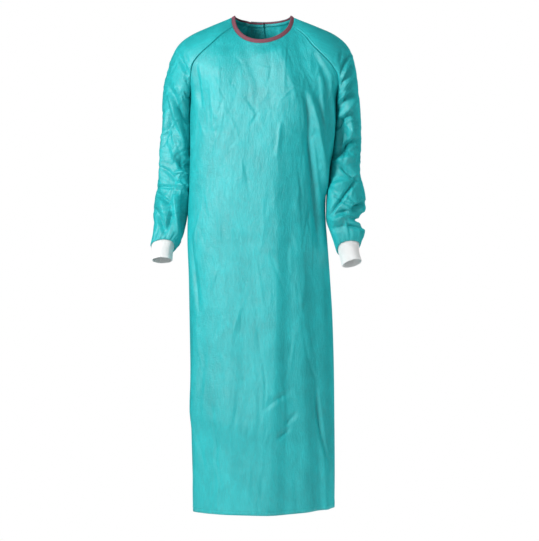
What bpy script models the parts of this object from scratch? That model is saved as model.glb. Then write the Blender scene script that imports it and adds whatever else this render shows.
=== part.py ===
"""A surgical gown, filled out as it hangs when it is worn, at its real size.

The cloth is a front, two backs that overlap and open behind, and two raglan sleeves. A bound neck, knitted cuffs,
a hook tape at the neck and a tied waist finish it. Each piece that is cut and sewn on is a wall of its own.

Frame: +Z up, -Y to the front, +X to the wearer's left. The origin lies between the neck's two shoulder points.
The tables and named sizes are in millimetres, and the meshes are built in metres.
"""

from collections import namedtuple

import bmesh
import bpy
import numpy as np

MM = 0.001

# Driving sizes
HEM_HEIGHT = -1284.0
HEM_LIFT_LEFT = 9.0
ARMPIT_HEIGHT = -216.0
WALL = 1.5
SEAM_GAP = 0.3
EDGE_SETBACK = 0.21
BACK_LAP_DEPTH = 4.5
BINDING_WALL = 2.4
BINDING_PROUD = 0.5
CUFF_WALL = 2.0
CUFF_IN_SLEEVE = 7.0
CUFF_TAPER = 0.8
TIE_WIDTH = 22.0
TIE_WALL = 1.5
TIE_HEIGHT = -462.0

# How finely the walls are divided
ROWS_BELOW_TIE = 15
ROWS_ABOVE_TIE = 8
ROWS_ABOVE_ARMPIT = 8
FRONT_COLUMNS = 34
SLEEVE_COLUMNS = 20
SLEEVE_ROWS_BELOW = 17
OUTER_BACK_COLUMNS = 18
UNDER_BACK_COLUMNS = 16
FINE_COLUMNS = 240
SEAM_PASSES = 3

# The body's outline: half widths to the wearer's right and left, the side seam's depth, and the front and back
Section = namedtuple("Section", "height right left seam front back square")
BODY = (
    Section(-1300, -178, 185, -6, -141, 126, 0.80),
    Section(-1200, -182, 186, -6, -139, 126, 0.80),
    Section(-1050, -186, 185, -8, -135, 124, 0.80),
    Section(-900, -188, 183, -10, -131, 121, 0.80),
    Section(-780, -190, 179, -12, -127, 117, 0.80),
    Section(-670, -192, 172, -14, -124, 112, 0.80),
    Section(-590, -195, 166, -16, -123, 105, 0.82),
    Section(-520, -194, 161, -18, -123, 97, 0.84),
    Section(-462, -191, 163, -19, -124, 93, 0.85),
    Section(-400, -189, 173, -20, -126, 100, 0.85),
    Section(-345, -188, 182, -20, -127, 110, 0.85),
    Section(-280, -188, 188, -20, -126, 116, 0.85),
    Section(-216, -188, 190, -18, -121, 119, 0.85),
)

# The middle of the front and of the back, from the armpit's level (share 0) up to the neck's seam (share 1)
Chest = namedtuple("Chest", "share front_depth front_height back_depth back_height front_square back_square")
CHEST = (
    Chest(0.00, -121, -216, 119, -216, 0.85, 0.85),
    Chest(0.20, -119, -197, 118, -180, 1.10, 1.10),
    Chest(0.40, -116, -175, 116, -142, 1.45, 1.40),
    Chest(0.60, -111, -150, 110, -102, 1.60, 1.50),
    Chest(0.80, -103, -117, 98, -60, 1.40, 1.30),
    Chest(1.00, -92, -82.5, 80, -19, 1.00, 1.00),
)

# The raglan seams, from the armpit up. Their last point is on the neck's seam.
SeamPoint = namedtuple("SeamPoint", "right left depth height")
FRONT_RAGLAN = (
    SeamPoint(-188, 190, -18, -216),
    SeamPoint(-187, 193, -50, -196),
    SeamPoint(-185, 192, -73, -164),
    SeamPoint(-180, 175, -83, -136),
    SeamPoint(-160, 150, -84, -110),
    SeamPoint(-133, 126, -77, -85),
    SeamPoint(-106, 106, -59, -58),
)
BACK_RAGLAN = (
    SeamPoint(-188, 190, -18, -216),
    SeamPoint(-187, 189, 22, -204),
    SeamPoint(-184, 185, 58, -178),
    SeamPoint(-174, 174, 86, -143),
    SeamPoint(-147, 147, 97, -104),
    SeamPoint(-114, 114, 84, -62),
    SeamPoint(-90, 91, 58, -32),
)

# The neck: the seam that the binding is sewn to, and the finished rim. Angle 0 is the wearer's left shoulder point.
Neck = namedtuple("Neck", "middle half_width front back point_height front_drop front_tilt back_drop")
NECK_SEAM = Neck(-0.5, 80, 92, 80, -6.5, 76, 5, 12.5)
NECK_RIM = Neck(-0.5, 72, 85, 75, -1.5, 71, 5, 7)
NECK_FRONT_SWELL = 0.9
FRONT_RAGLAN_ANGLE = 17.5
BACK_RAGLAN_ANGLE = 27.0
NECK_INSIDE = (0.0, 0.0, -150.0)
FRONT_HALF_ANGLE = 200.0

# The sleeves. Stage 0 is the neck, 1 the armpit and 2 the cuff's seam. The outer line runs over the shoulder and
# down the arm, the inner line from the armpit down. Fullness is how far the cloth swells to the front and back.
Outer = namedtuple("Outer", "stage x y z fullness")
Inner = namedtuple("Inner", "stage x y z lean")
RIGHT_OUTER = (
    Outer(0.00, -81, 0, -5, 0),
    Outer(0.20, -137, 4, -29, 8),
    Outer(0.40, -188, 8, -53, 10),
    Outer(0.55, -220, 12, -78, 14),
    Outer(0.70, -240, 16, -117, 22),
    Outer(0.85, -256, 20, -169, 38),
    Outer(1.00, -264, 24, -232, 60),
    Outer(1.20, -262, 28, -302, 60),
    Outer(1.35, -266, 30, -353, 58),
    Outer(1.50, -271, 28, -406, 57),
    Outer(1.65, -278, 20, -459, 56),
    Outer(1.80, -286, 4, -511, 54),
    Outer(1.90, -284, -12, -552, 44),
    Outer(2.00, -290, -30, -601, 30),
)
RIGHT_INNER = (
    Inner(1.00, -188.6, -18, -216, 0),
    Inner(1.10, -187.5, 14, -255, 0),
    Inner(1.20, -187, 26, -292, 0),
    Inner(1.35, -187, 29, -348, 0),
    Inner(1.50, -188, 27, -402, 0),
    Inner(1.65, -191, 18, -455, 6),
    Inner(1.80, -195.5, 2, -512, 16),
    Inner(1.90, -203, -13, -555, 26),
    Inner(1.95, -210, -22, -578, 32),
    Inner(2.00, -229, -30, -604, 38),
)
LEFT_OUTER = (
    Outer(0.00, 80, 0, -5, 0),
    Outer(0.20, 139, 4, -29, 8),
    Outer(0.40, 190, 8, -53, 10),
    Outer(0.55, 222, 12, -82, 14),
    Outer(0.70, 238, 16, -122, 22),
    Outer(0.85, 247, 19, -175, 38),
    Outer(1.00, 253, 20, -232, 60),
    Outer(1.20, 256, 18, -302, 60),
    Outer(1.35, 255, 8, -353, 58),
    Outer(1.50, 253, -6, -410, 57),
    Outer(1.60, 260, -14, -446, 57),
    Outer(1.70, 266, -21, -482, 56),
    Outer(1.80, 264, -28, -512, 52),
    Outer(1.88, 239, -34, -538, 42),
    Outer(1.94, 262, -41, -561, 40),
    Outer(2.00, 250, -46, -599, 29),
)
LEFT_INNER = (
    Inner(1.00, 190.6, -18, -216, 0),
    Inner(1.10, 188.5, 10, -255, 0),
    Inner(1.20, 186, 22, -292, 0),
    Inner(1.35, 180.5, 22, -348, 0),
    Inner(1.50, 174, 4, -402, 2),
    Inner(1.60, 169, -10, -436, 4),
    Inner(1.70, 164.6, -24, -470, 8),
    Inner(1.80, 163.2, -33, -508, 14),
    Inner(1.88, 164, -38, -536, 20),
    Inner(1.94, 174, -42, -564, 28),
    Inner(2.00, 192, -47, -612, 38),
)

# The cuffs. Their first two rings lie against the inside of the sleeve's end, these two rings lead on to the
# open end. Lean turns a ring's front edge up, tilt its outer side.
CuffRing = namedtuple("CuffRing", "x y z radius lean tilt")
RIGHT_CUFF = (
    CuffRing(-260.0, -39.0, -622, 26.6, 26, 0),
    CuffRing(-260.0, -45.0, -637, 26.2, 18, 0),
)
LEFT_CUFF = (
    CuffRing(224.5, -54.5, -627, 25.4, 30, -14),
    CuffRing(229.0, -61.0, -645, 26.0, 22, -14),
)

# Where the backs end, as shares across from the wearer's right side seam (0) to the left one (1)
BackEdge = namedtuple("BackEdge", "height outer under")
BACK_EDGES = (
    BackEdge(-1281, 0.30, 0.66),
    BackEdge(-462, 0.29, 0.62),
    BackEdge(-216, 0.29, 0.58),
    BackEdge(-19, 0.30, 0.51),
)
LAP_TURN = 0.09
LAP_TURN_USED = 0.8

# The largest folds of the cloth. Each runs from (x0, z0) to (x1, z1) as seen from the front, bowed sideways in the
# middle, and fades over its widths on the side of -X (right) and +X (left). Height is outwards, or inwards below 0.
Fold = namedtuple("Fold", "x0 z0 x1 z1 bow right left height edge")
FRONT_FOLDS = (
    Fold(41, -276, 0, -1400, 16, 62, 72, 8, 0.3),
    Fold(64, -440, 54, -1500, 0, 24, 22, -5, 0.2),
    Fold(92, -400, 112, -1500, 0, 24, 22, 6, 0.2),
    Fold(90, -205, 143, -660, 5, 26, 24, -8, 0.2),
    Fold(108, -200, 152, -480, 8, 26, 26, 10, 0.2),
    Fold(-188, -540, -161, -780, -3, 18, 20, -6, 0.4),
    Fold(-174, -720, -172, -1500, 0, 18, 26, 5, 0.3),
    Fold(72, -78, 150, -240, 0, 42, 36, -7, 0.0),
    Fold(-98, -85, -124, -310, 0, 46, 50, 4, 0.0),
    Fold(139, -950, 167, -1160, -5, 20, 18, -6, 0.5),
    Fold(150, -1040, 174, -1500, 0, 20, 18, 5, 0.3),
    Fold(-80, -640, -92, -1500, 0, 40, 40, 3, 0.0),
)
BACK_FOLDS = (
    Fold(-120, -150, -60, -450, 6, 26, 26, -6, 0.3),
    Fold(118, -150, 62, -450, -6, 26, 26, -6, 0.3),
    Fold(-150, -200, -112, -455, 0, 24, 24, 7, 0.3),
    Fold(150, -200, 108, -455, 0, 24, 24, 7, 0.3),
    Fold(20, -130, 6, -440, 0, 30, 30, 6, 0.2),
    Fold(-58, -470, -86, -1500, 0, 28, 26, 8, 0.2),
    Fold(-118, -480, -140, -1500, 0, 24, 24, -7, 0.2),
    Fold(56, -470, 90, -1500, 0, 26, 28, 8, 0.2),
    Fold(112, -480, 138, -1500, 0, 24, 24, -7, 0.2),
    Fold(8, -520, 18, -1500, 0, 26, 26, -6, 0.2),
)
RIGHT_SLEEVE_FOLDS = (
    Fold(-245, -176, -186, -300, -5, 16, 16, -8, 0.5),
    Fold(-237, -216, -196, -360, 0, 18, 20, 9, 0.3),
    Fold(-244, -206, -190, -384, -14, 14, 14, -9, 0.5),
    Fold(-255, -262, -263, -470, 0, 16, 20, 5, 0.2),
    Fold(-232, -394, -178, -400, 0, 22, 22, -8, 0.2),
    Fold(-232, -437, -186, -447, 0, 21, 21, 8, 0.2),
    Fold(-194, -462, -210, -580, 0, 20, 18, -7, 0.2),
    Fold(-266, -462, -245, -550, 0, 22, 22, 6, 0.3),
    Fold(-278, -450, -232, -498, 0, 15, 15, -6, 0.5),
    Fold(-286, -498, -245, -568, 0, 14, 14, -6, 0.5),
)
LEFT_SLEEVE_FOLDS = (
    Fold(243, -176, 196, -232, 0, 14, 14, -5, 0.5),
    Fold(240, -204, 196, -275, 0, 20, 20, 7, 0.3),
    Fold(233, -226, 185, -300, 0, 14, 14, -8, 0.5),
    Fold(222, -262, 216, -338, 0, 14, 18, 5, 0.2),
    Fold(257, -320, 176, -385, -10, 15, 15, -10, 0.5),
    Fold(180, -390, 246, -362, 0, 24, 24, 9, 0.2),
    Fold(175, -454, 226, -432, 0, 26, 26, 7, 0.2),
    Fold(248, -420, 165, -530, 0, 14, 14, -6, 0.5),
    Fold(268, -488, 222, -518, 0, 17, 17, -9, 0.4),
    Fold(174, -540, 232, -519, 0, 17, 17, 7, 0.3),
    Fold(172, -572, 224, -542, 0, 14, 14, -7, 0.5),
)
# The sleeves' backs fold where their fronts do, a little lower and shallower
BEHIND_SHIFT = -34.0
BEHIND_SHARE = 0.75

# A fold's profile: how sharp its edge is and how soon it reaches its height from its ends
FOLD_SHARPNESS = 1.6
FOLD_ENDS = 0.7

# Where the folds fade out: shares of a row beside the seams, the rise to the neck, and places round a sleeve
Fade = namedtuple("Fade", "start width")
FRONT_SEAM_MARGIN = 0.07
BACK_SEAM_MARGIN = 0.10
NECK_FADE = Fade(0.55, 0.45)
SLEEVE_TOP_FADE = Fade(0.50, 0.35)
SLEEVE_END_FADE = Fade(2.00, 0.10)
UNDERARM_FADE = Fade(0.05, 0.13)
SLEEVE_FRONT_FADE = Fade(0.56, 0.12)
SLEEVE_BACK_FADE = Fade(0.44, 0.12)

# The waist tie: where its bands start at the side seams and meet at the back, the knot, and the ends that hang
BAND_START = 0.02
BAND_MEET = 0.50
BAND_STEP_LEAST = 0.01
KNOT_SIZE = (34.0, 13.0, 27.0)
KNOT_ROUNDING = 0.4
KNOT_SEGMENTS = 3
TieEnd = namedtuple("TieEnd", "top_offset low_offset length")
LEFT_END = TieEnd(9.5, 24.0, 235.0)
RIGHT_END = TieEnd(-9.5, -17.0, 215.0)
END_WIDTH = 17.0
END_CLEARANCE = 5.0
END_ROWS = 9
END_PINCH = 0.2
END_PINCH_LENGTH = 0.33
END_REACH = 0.12

# The hook tape between the two backs at the neck
TAPE_SHARES = (0.335, 0.465)
TAPE_RISE = (0.86, 0.97)
TAPE_WALL = 1.8
TAPE_ROWS = 3
TAPE_COLUMNS = 6
TAPE_FINENESS = 8

TEAL = (0.075, 0.50, 0.52, 1.0)
ROSE = (0.22, 0.065, 0.085, 1.0)
KNIT_WHITE = (0.86, 0.86, 0.85, 1.0)


def column(table, name):
    """One named column of a table."""
    return np.array([getattr(row, name) for row in table], float)


def smooth(at, knots, values):
    """The values between the knots, on a cubic curve through all of them."""
    knots, values = np.asarray(knots, float), np.asarray(values, float)
    order = np.argsort(knots)
    knots, values = knots[order], values[order]
    rise = np.diff(values) / np.diff(knots)
    slope = np.concatenate([rise[:1], (rise[:-1] + rise[1:]) / 2, rise[-1:]])
    at = np.clip(at, knots[0], knots[-1])
    k = np.clip(np.searchsorted(knots, at, side="right") - 1, 0, len(knots) - 2)
    width = knots[k + 1] - knots[k]
    t = (at - knots[k]) / width
    return (
        values[k] * (1 + 2 * t) * (1 - t) ** 2
        + values[k + 1] * (3 - 2 * t) * t**2
        + width * (slope[k] * t * (1 - t) ** 2 - slope[k + 1] * t**2 * (1 - t))
    )


def ease(share):
    """0 up to 1 with level ends, for shares from 0 to 1."""
    share = np.clip(share, 0, 1)
    return share * share * (3 - 2 * share)


def fade_in(values, fade):
    """0 up to the fade's start, and 1 from its width past it."""
    return ease((values - fade.start) / fade.width)


def fade_out(values, fade):
    """1 up to the fade's width before its start, and 0 from there on."""
    return ease((fade.start - values) / fade.width)


def unit(vectors):
    return vectors / np.maximum(np.linalg.norm(vectors, axis=-1, keepdims=True), 1e-9)


def normals(grid):
    """The normal at each point of a grid whose columns, then rows, turn anticlockwise seen from outside."""
    return unit(np.cross(np.gradient(grid, axis=1), np.gradient(grid, axis=0)))


def neck_points(neck, angles):
    """Points on one of the neck's two curves, at angles in degrees from the wearer's left shoulder point."""
    turn = np.radians(angles)
    back, front = np.maximum(np.sin(turn), 0), np.maximum(-np.sin(turn), 0)
    return np.stack(
        [
            neck.middle + neck.half_width * np.cos(turn),
            neck.back * back - neck.front * front,
            neck.point_height
            - neck.back_drop * back
            - neck.front_drop * front**NECK_FRONT_SWELL
            + neck.front_tilt * front * np.cos(turn),
        ],
        axis=-1,
    )


def seam_line(table, side, angle, shares):
    """Points at even shares of the length along a raglan seam, from the armpit to its end on the neck's seam."""
    points = np.stack([column(table, side), column(table, "depth"), column(table, "height")], axis=-1)
    points = np.vstack([points, neck_points(NECK_SEAM, np.array([angle]))])
    for _ in range(SEAM_PASSES):
        length = np.append(0, np.cumsum(np.linalg.norm(np.diff(points, axis=0), axis=1)))
        even = np.linspace(0, 1, len(points) * 3)
        points = np.stack([smooth(even, length / length[-1], points[:, k]) for k in range(3)], axis=-1)
    length = np.append(0, np.cumsum(np.linalg.norm(np.diff(points, axis=0), axis=1)))
    return np.stack([np.interp(shares, length / length[-1], points[:, k]) for k in range(3)], axis=-1)


FRONT_ANGLES = {"right": 180 + FRONT_RAGLAN_ANGLE, "left": -FRONT_RAGLAN_ANGLE}
BACK_ANGLES = {"right": 180 - BACK_RAGLAN_ANGLE, "left": BACK_RAGLAN_ANGLE}


def front_seam(side, shares):
    return seam_line(FRONT_RAGLAN, side, FRONT_ANGLES[side], shares)


def back_seam(side, shares):
    return seam_line(BACK_RAGLAN, side, BACK_ANGLES[side], shares)


def levels(fine=1):
    """The heights of the body's rows below the armpit, with one row at each edge of the waist tie."""
    low, high = TIE_HEIGHT - TIE_WIDTH / 2, TIE_HEIGHT + TIE_WIDTH / 2
    return np.concatenate(
        [
            np.linspace(HEM_HEIGHT, low, ROWS_BELOW_TIE * fine + 1)[:-1],
            np.linspace(low, high, fine + 1)[:-1],
            np.linspace(high, ARMPIT_HEIGHT, ROWS_ABOVE_TIE * fine + 1)[:-1],
        ]
    )


def rises(fine=1):
    """The body's rows above the armpit, as shares of the way to the neck's seam."""
    return np.linspace(0, 1, ROWS_ABOVE_ARMPIT * fine + 1)


def body_rows(across, is_front, fine):
    """The skin of the front or the back, from the hem's row up to the neck's seam."""
    turn = np.pi * across
    along = (1 - np.cos(turn)) / 2
    heights = levels(fine)
    at = {name: smooth(heights, column(BODY, "height"), column(BODY, name)) for name in Section._fields}
    lower_right = np.stack([at["right"], at["seam"], heights], axis=-1)
    lower_left = np.stack([at["left"], at["seam"], heights], axis=-1)
    depth = (at["front"] if is_front else at["back"]) - at["seam"]

    rise = rises(fine)
    seam = front_seam if is_front else back_seam
    side = "front" if is_front else "back"
    upper_right, upper_left = seam("right", rise), seam("left", rise)
    middle = {
        name: smooth(rise, column(CHEST, "share"), column(CHEST, f"{side}_{name}"))
        for name in ("depth", "height", "square")
    }
    rights = np.vstack([lower_right, upper_right])
    lefts = np.vstack([lower_left, upper_left])
    mean = (upper_right + upper_left) / 2
    depths = np.append(depth, middle["depth"] - mean[:, 1])
    drops = np.append(0 * heights, mean[:, 2] - middle["height"])
    squares = np.append(at["square"], middle["square"])

    swell = np.sin(turn)[None, :] ** squares[:, None]
    grid = rights[:, None] + (lefts - rights)[:, None] * along[None, :, None]
    lift = ease((rights[:, 2] - ARMPIT_HEIGHT) / (HEM_HEIGHT - ARMPIT_HEIGHT)) * HEM_LIFT_LEFT
    grid[..., 2] += lift[:, None] * ease(2 * along - 1)
    grid[..., 1] += depths[:, None] * swell
    grid[..., 2] -= drops[:, None] * swell
    angles = FRONT_ANGLES if is_front else BACK_ANGLES
    end = angles["left"] + (360 if is_front else 0)
    neck = neck_points(NECK_SEAM, angles["right"] + (end - angles["right"]) * across)
    fade = np.append(0 * heights, rise**3)
    return grid + fade[:, None, None] * (neck - grid[-1])


def sleeve_rows(side, columns, below, above):
    """The skin of a sleeve, from the neck's seam over the shoulder and down to the cuff."""
    outer, inner = (RIGHT_OUTER, RIGHT_INNER) if side == "right" else (LEFT_OUTER, LEFT_INNER)
    stages = np.concatenate([np.linspace(0, 1, above + 1), np.linspace(1, 2, below + 1)[1:]])
    around = np.linspace(0, 1, columns + 1)
    out = np.stack([smooth(stages, column(outer, "stage"), column(outer, k)) for k in "xyz"], axis=-1)
    fullness = smooth(stages, column(outer, "stage"), column(outer, "fullness"))
    low = stages[above + 1 :]
    inside = np.stack([smooth(low, column(inner, "stage"), column(inner, k)) for k in "xyz"], axis=-1)
    lean = np.append(
        np.zeros(above + 1), np.radians(smooth(low, column(inner, "stage"), column(inner, "lean")))
    )
    rise = 1 - stages[: above + 1]
    fronts = np.vstack([front_seam(side, rise), inside])
    backs = np.vstack([back_seam(side, rise), inside])
    armpit = np.array([inner[0].x, inner[0].y, inner[0].z], float)
    fronts[above] = backs[above] = armpit
    forward = np.stack([0 * lean, -np.cos(lean), np.sin(lean)], axis=-1)
    reach = np.sin(np.pi * around) ** 2
    middle, half = (fronts + backs) / 2, (fronts - backs) / 2
    grid = (
        middle[:, None]
        + (out - middle)[:, None] * reach[None, :, None]
        + half[:, None] * np.cos(np.pi * around)[None, :, None]
        + (fullness[:, None] * forward)[:, None] * np.sin(2 * np.pi * around)[None, :, None]
    )
    start, end = FRONT_ANGLES[side], BACK_ANGLES[side]
    neck = neck_points(NECK_SEAM, start + (end - start) * around)
    fade = np.clip(1 - stages, 0, 1) ** 3
    return grid + fade[:, None, None] * (neck - grid[0])


def fold_height(x, z, fold, shift=0.0):
    """How far one fold lifts the cloth at the points (x, z), seen from the front."""
    start = np.array([fold.x0, fold.z0 + shift])
    run = np.array([fold.x1 - fold.x0, fold.z1 - fold.z0], float)
    length = np.linalg.norm(run)
    ahead = run / length
    aside = np.array([-ahead[1], ahead[0]]) * (1 if ahead[1] < 0 else -1)
    dx, dz = x - start[0], z - start[1]
    along = (dx * ahead[0] + dz * ahead[1]) / length
    inside = np.clip(along, 0, 1)
    across = dx * aside[0] + dz * aside[1] - fold.bow * 4 * inside * (1 - inside)
    width = np.where(across < 0, fold.right, fold.left)
    q = np.clip(np.abs(across) / width, 0, 1)
    soft = np.cos(np.pi * q / 2) ** 2
    sharp = (1 - q) ** FOLD_SHARPNESS
    ends = np.sin(np.pi * inside) ** FOLD_ENDS
    return fold.height * ends * ((1 - fold.edge) * soft + fold.edge * sharp)


def folded(grid, outward, folds, mask, shift=0.0, share=1.0):
    """The grid with its folds raised along the outward normals, where the mask lets them."""
    lift = sum(fold_height(grid[..., 0], grid[..., 2], fold, shift) for fold in folds)
    return grid + outward * (lift * share * mask)[..., None]


def side_mask(across, margin):
    """0 at both ends of a row and 1 away from them, so that folds die out before the seams."""
    across = np.asarray(across, float)
    return ease(np.minimum(across, 1 - across) / margin)


def top_mask(fine):
    """1 from the hem up to the chest and 0 at the neck's seam."""
    return np.append(0 * levels(fine) + 1, 1 - fade_in(rises(fine), NECK_FADE))


def front_skin(across, fine=1):
    grid = body_rows(across, True, fine)
    mask = side_mask(across, FRONT_SEAM_MARGIN)[None, :] * top_mask(fine)[:, None]
    return folded(grid, normals(grid), FRONT_FOLDS, mask)


def back_skin(across, fine=1):
    """The back's outer skin, from the wearer's right side seam to the left one, with its normals outwards."""
    grid = body_rows(across, False, fine)
    mask = side_mask(across, BACK_SEAM_MARGIN)[None, :] * top_mask(fine)[:, None]
    grid = folded(grid, -normals(grid), BACK_FOLDS, mask)
    return grid, -normals(grid)


def sleeve_normals(grid, side, above=ROWS_ABOVE_ARMPIT):
    """The sleeve's normals outwards. Its first and last columns are one line below the armpit."""
    outward = normals(grid) * (1 if side == "right" else -1)
    outward[above:, 0] = outward[above:, -1] = unit(outward[above:, 0] + outward[above:, -1])
    return outward


def sleeve_skin(side, columns=SLEEVE_COLUMNS, below=SLEEVE_ROWS_BELOW, above=ROWS_ABOVE_ARMPIT):
    grid = sleeve_rows(side, columns, below, above)
    outward = sleeve_normals(grid, side, above)
    around = np.linspace(0, 1, columns + 1)
    stages = np.concatenate([np.linspace(0, 1, above + 1), np.linspace(1, 2, below + 1)[1:]])
    along = fade_in(stages, SLEEVE_TOP_FADE) * fade_out(stages, SLEEVE_END_FADE)
    in_front = fade_in(around, UNDERARM_FADE) * fade_out(around, SLEEVE_FRONT_FADE)
    behind = fade_in(1 - around, UNDERARM_FADE) * fade_in(around, SLEEVE_BACK_FADE)
    folds = RIGHT_SLEEVE_FOLDS if side == "right" else LEFT_SLEEVE_FOLDS
    front = folded(grid, outward, folds, along[:, None] * in_front) - grid
    back = folded(grid, outward, folds, along[:, None] * behind, BEHIND_SHIFT, BEHIND_SHARE) - grid
    return grid + front + back


def part_edge(grid, edge, gap=EDGE_SETBACK):
    """Draws one edge of a grid back from its seam by half the gap, square to the seam."""
    grid = grid.copy()
    turned = {"first": grid, "last": grid[:, ::-1], "bottom": grid.swapaxes(0, 1), "top": grid[::-1].swapaxes(0, 1)}
    lines = turned[edge]
    seam = unit(np.gradient(lines[:, 0], axis=0))
    inwards = lines[:, 1] - lines[:, 0]
    inwards = inwards - seam * np.sum(inwards * seam, axis=-1, keepdims=True)
    lines[:, 0] += unit(inwards) * gap
    return grid


def sheet_mesh(name, grid, outward_is_rows_by_columns):
    """A mesh of the grid's quads, with points that coincide made one. Its size is in metres."""
    rows, columns = grid.shape[:2]
    index = np.arange(rows * columns).reshape(rows, columns)
    corners = (index[:-1, :-1], index[:-1, 1:], index[1:, 1:], index[1:, :-1])
    faces = np.stack([c.ravel() for c in corners], axis=1)
    if outward_is_rows_by_columns:
        faces = faces[:, ::-1]
    mesh = bpy.data.meshes.new(name)
    mesh.from_pydata((grid.reshape(-1, 3) * MM).tolist(), [], faces.tolist())
    work = bmesh.new()
    work.from_mesh(mesh)
    bmesh.ops.remove_doubles(work, verts=work.verts, dist=0.00001)
    work.to_mesh(mesh)
    work.free()
    mesh.shade_smooth()
    return mesh


def finish(name, colour, roughness):
    """A plain material in the cloth's own colour."""
    material = bpy.data.materials.new(name)
    material.use_nodes = True
    shader = material.node_tree.nodes["Principled BSDF"]
    shader.inputs["Base Color"].default_value = colour
    shader.inputs["Roughness"].default_value = roughness
    shader.inputs["Metallic"].default_value = 0.0
    return material


def place(name, mesh, material, gown):
    obj = bpy.data.objects.new(name, mesh)
    obj.data.materials.append(material)
    gown.objects.link(obj)
    return obj


def wall(name, grid, flip, thickness, material, gown, offset=-1.0):
    """A cloth wall: the grid's surface with Solidify, inwards from the skin unless offset says otherwise."""
    obj = place(name, sheet_mesh(name, grid, flip), material, gown)
    solid = obj.modifiers.new("Cloth thickness", "SOLIDIFY")
    solid.thickness = thickness * MM
    solid.offset = offset
    return obj


FINE_ACROSS = np.linspace(0, 1, FINE_COLUMNS + 1)


def lap_inset(across, outer_edge):
    """How far the under back lies inside the skin: 0 at its side seam, the lap's depth under the outer back."""
    return BACK_LAP_DEPTH * ease((across - (outer_edge - LAP_TURN)) / (LAP_TURN * LAP_TURN_USED))


def back_edges(fine=1):
    """The two backs' free edges for each row, as shares across."""
    heights = np.append(levels(fine), smooth(rises(fine), column(CHEST, "share"), column(CHEST, "back_height")))
    knots = column(BACK_EDGES, "height")
    return smooth(heights, knots, column(BACK_EDGES, "outer")), smooth(heights, knots, column(BACK_EDGES, "under"))


def resample(grid, shares, wanted):
    """Each row of the grid read at its own shares across."""
    out = np.empty((len(grid), wanted.shape[1], 3))
    for row, (points, at) in enumerate(zip(grid, wanted)):
        for k in range(3):
            out[row, :, k] = np.interp(at, shares, points[:, k])
    return out


def back_panels():
    """The outer back, from the left side seam, and the under back, from the right one, as grids."""
    skin, outward = back_skin(FINE_ACROSS)
    outer_edge, under_edge = back_edges()
    part = np.linspace(0, 1, OUTER_BACK_COLUMNS + 1)
    outer_at = 1 - (1 - outer_edge)[:, None] * part[None, :]
    outer = resample(skin, FINE_ACROSS, outer_at)
    part = np.linspace(0, 1, UNDER_BACK_COLUMNS + 1)
    under_at = under_edge[:, None] * part[None, :]
    inset = lap_inset(FINE_ACROSS[None, :], outer_edge[:, None])
    under = resample(skin - outward * inset[..., None], FINE_ACROSS, under_at)
    return outer, outer_at, under, under_at


def build_body(cloth, gown):
    """The front and the two backs, drawn back from the side, raglan and neck seams."""
    front = front_skin(np.linspace(0, 1, FRONT_COLUMNS + 1))
    for edge in ("first", "last", "top"):
        front = part_edge(front, edge)
    wall("front_panel", front, False, WALL, cloth, gown)
    outer, _, under, _ = back_panels()
    for edge in ("first", "top"):
        outer, under = part_edge(outer, edge), part_edge(under, edge)
    wall("back_panel_left", outer, False, WALL, cloth, gown)
    wall("back_panel_right", under, True, WALL, cloth, gown)


def build_sleeve(side, cloth, gown):
    """One sleeve: open above the armpit, where it meets the raglan seams, and a closed tube below it."""
    grid = sleeve_skin(side)
    upper = grid[: ROWS_ABOVE_ARMPIT + 1]
    edged = part_edge(part_edge(upper, "first"), "last")
    grid[:ROWS_ABOVE_ARMPIT] = edged[:ROWS_ABOVE_ARMPIT]
    grid = part_edge(grid, "bottom")
    wall(f"sleeve_{side}", grid, side == "left", WALL, cloth, gown)


def cuff_skin(side):
    """A cuff's outer skin, from the ring inside the sleeve's end to the open one."""
    skin = sleeve_skin(side)
    outward = sleeve_normals(skin, side)
    lining = skin - outward * (WALL + SEAM_GAP)
    inside = lining[-1] + unit(lining[-2] - lining[-1]) * CUFF_IN_SLEEVE - outward[-1] * CUFF_TAPER
    around = np.linspace(0, 2 * np.pi, SLEEVE_COLUMNS + 1)
    rings = [inside, lining[-1]]
    for ring in RIGHT_CUFF if side == "right" else LEFT_CUFF:
        lean, tilt = np.radians(ring.lean), np.radians(ring.tilt)
        outwards = -np.cos(around) * (-1 if side == "right" else 1)
        forwards = np.sin(around)
        circle = np.stack(
            [
                outwards * np.cos(tilt),
                -forwards * np.cos(lean),
                forwards * np.sin(lean) - outwards * np.sin(tilt),
            ],
            axis=-1,
        )
        rings.append(np.array([ring.x, ring.y, ring.z]) + circle * ring.radius)
    return np.array(rings)


def build_cuff(side, knit, gown):
    wall(f"cuff_{side}", cuff_skin(side), side == "left", CUFF_WALL, knit, gown)


def binding_angles():
    """Angles around the neck from the under end at the back, over the right shoulder and the front, to the outer
    end, with the same points as the panels' top rows."""
    _, outer_at, _, under_at = back_panels()
    span = BACK_ANGLES["left"] - BACK_ANGLES["right"]
    under = BACK_ANGLES["right"] + span * under_at[-1][::-1]
    outer = 360 + BACK_ANGLES["right"] + span * outer_at[-1]
    around = np.linspace(0, 1, SLEEVE_COLUMNS + 1)
    right = BACK_ANGLES["right"] + (FRONT_ANGLES["right"] - BACK_ANGLES["right"]) * around
    front = FRONT_ANGLES["right"] + (360 + FRONT_ANGLES["left"] - FRONT_ANGLES["right"]) * np.linspace(
        0, 1, FRONT_COLUMNS + 1
    )
    left = 360 + FRONT_ANGLES["left"] + (BACK_ANGLES["left"] - FRONT_ANGLES["left"]) * around
    return np.concatenate([under[:-1], right[:-1], front[:-1], left[:-1], outer])


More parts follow.
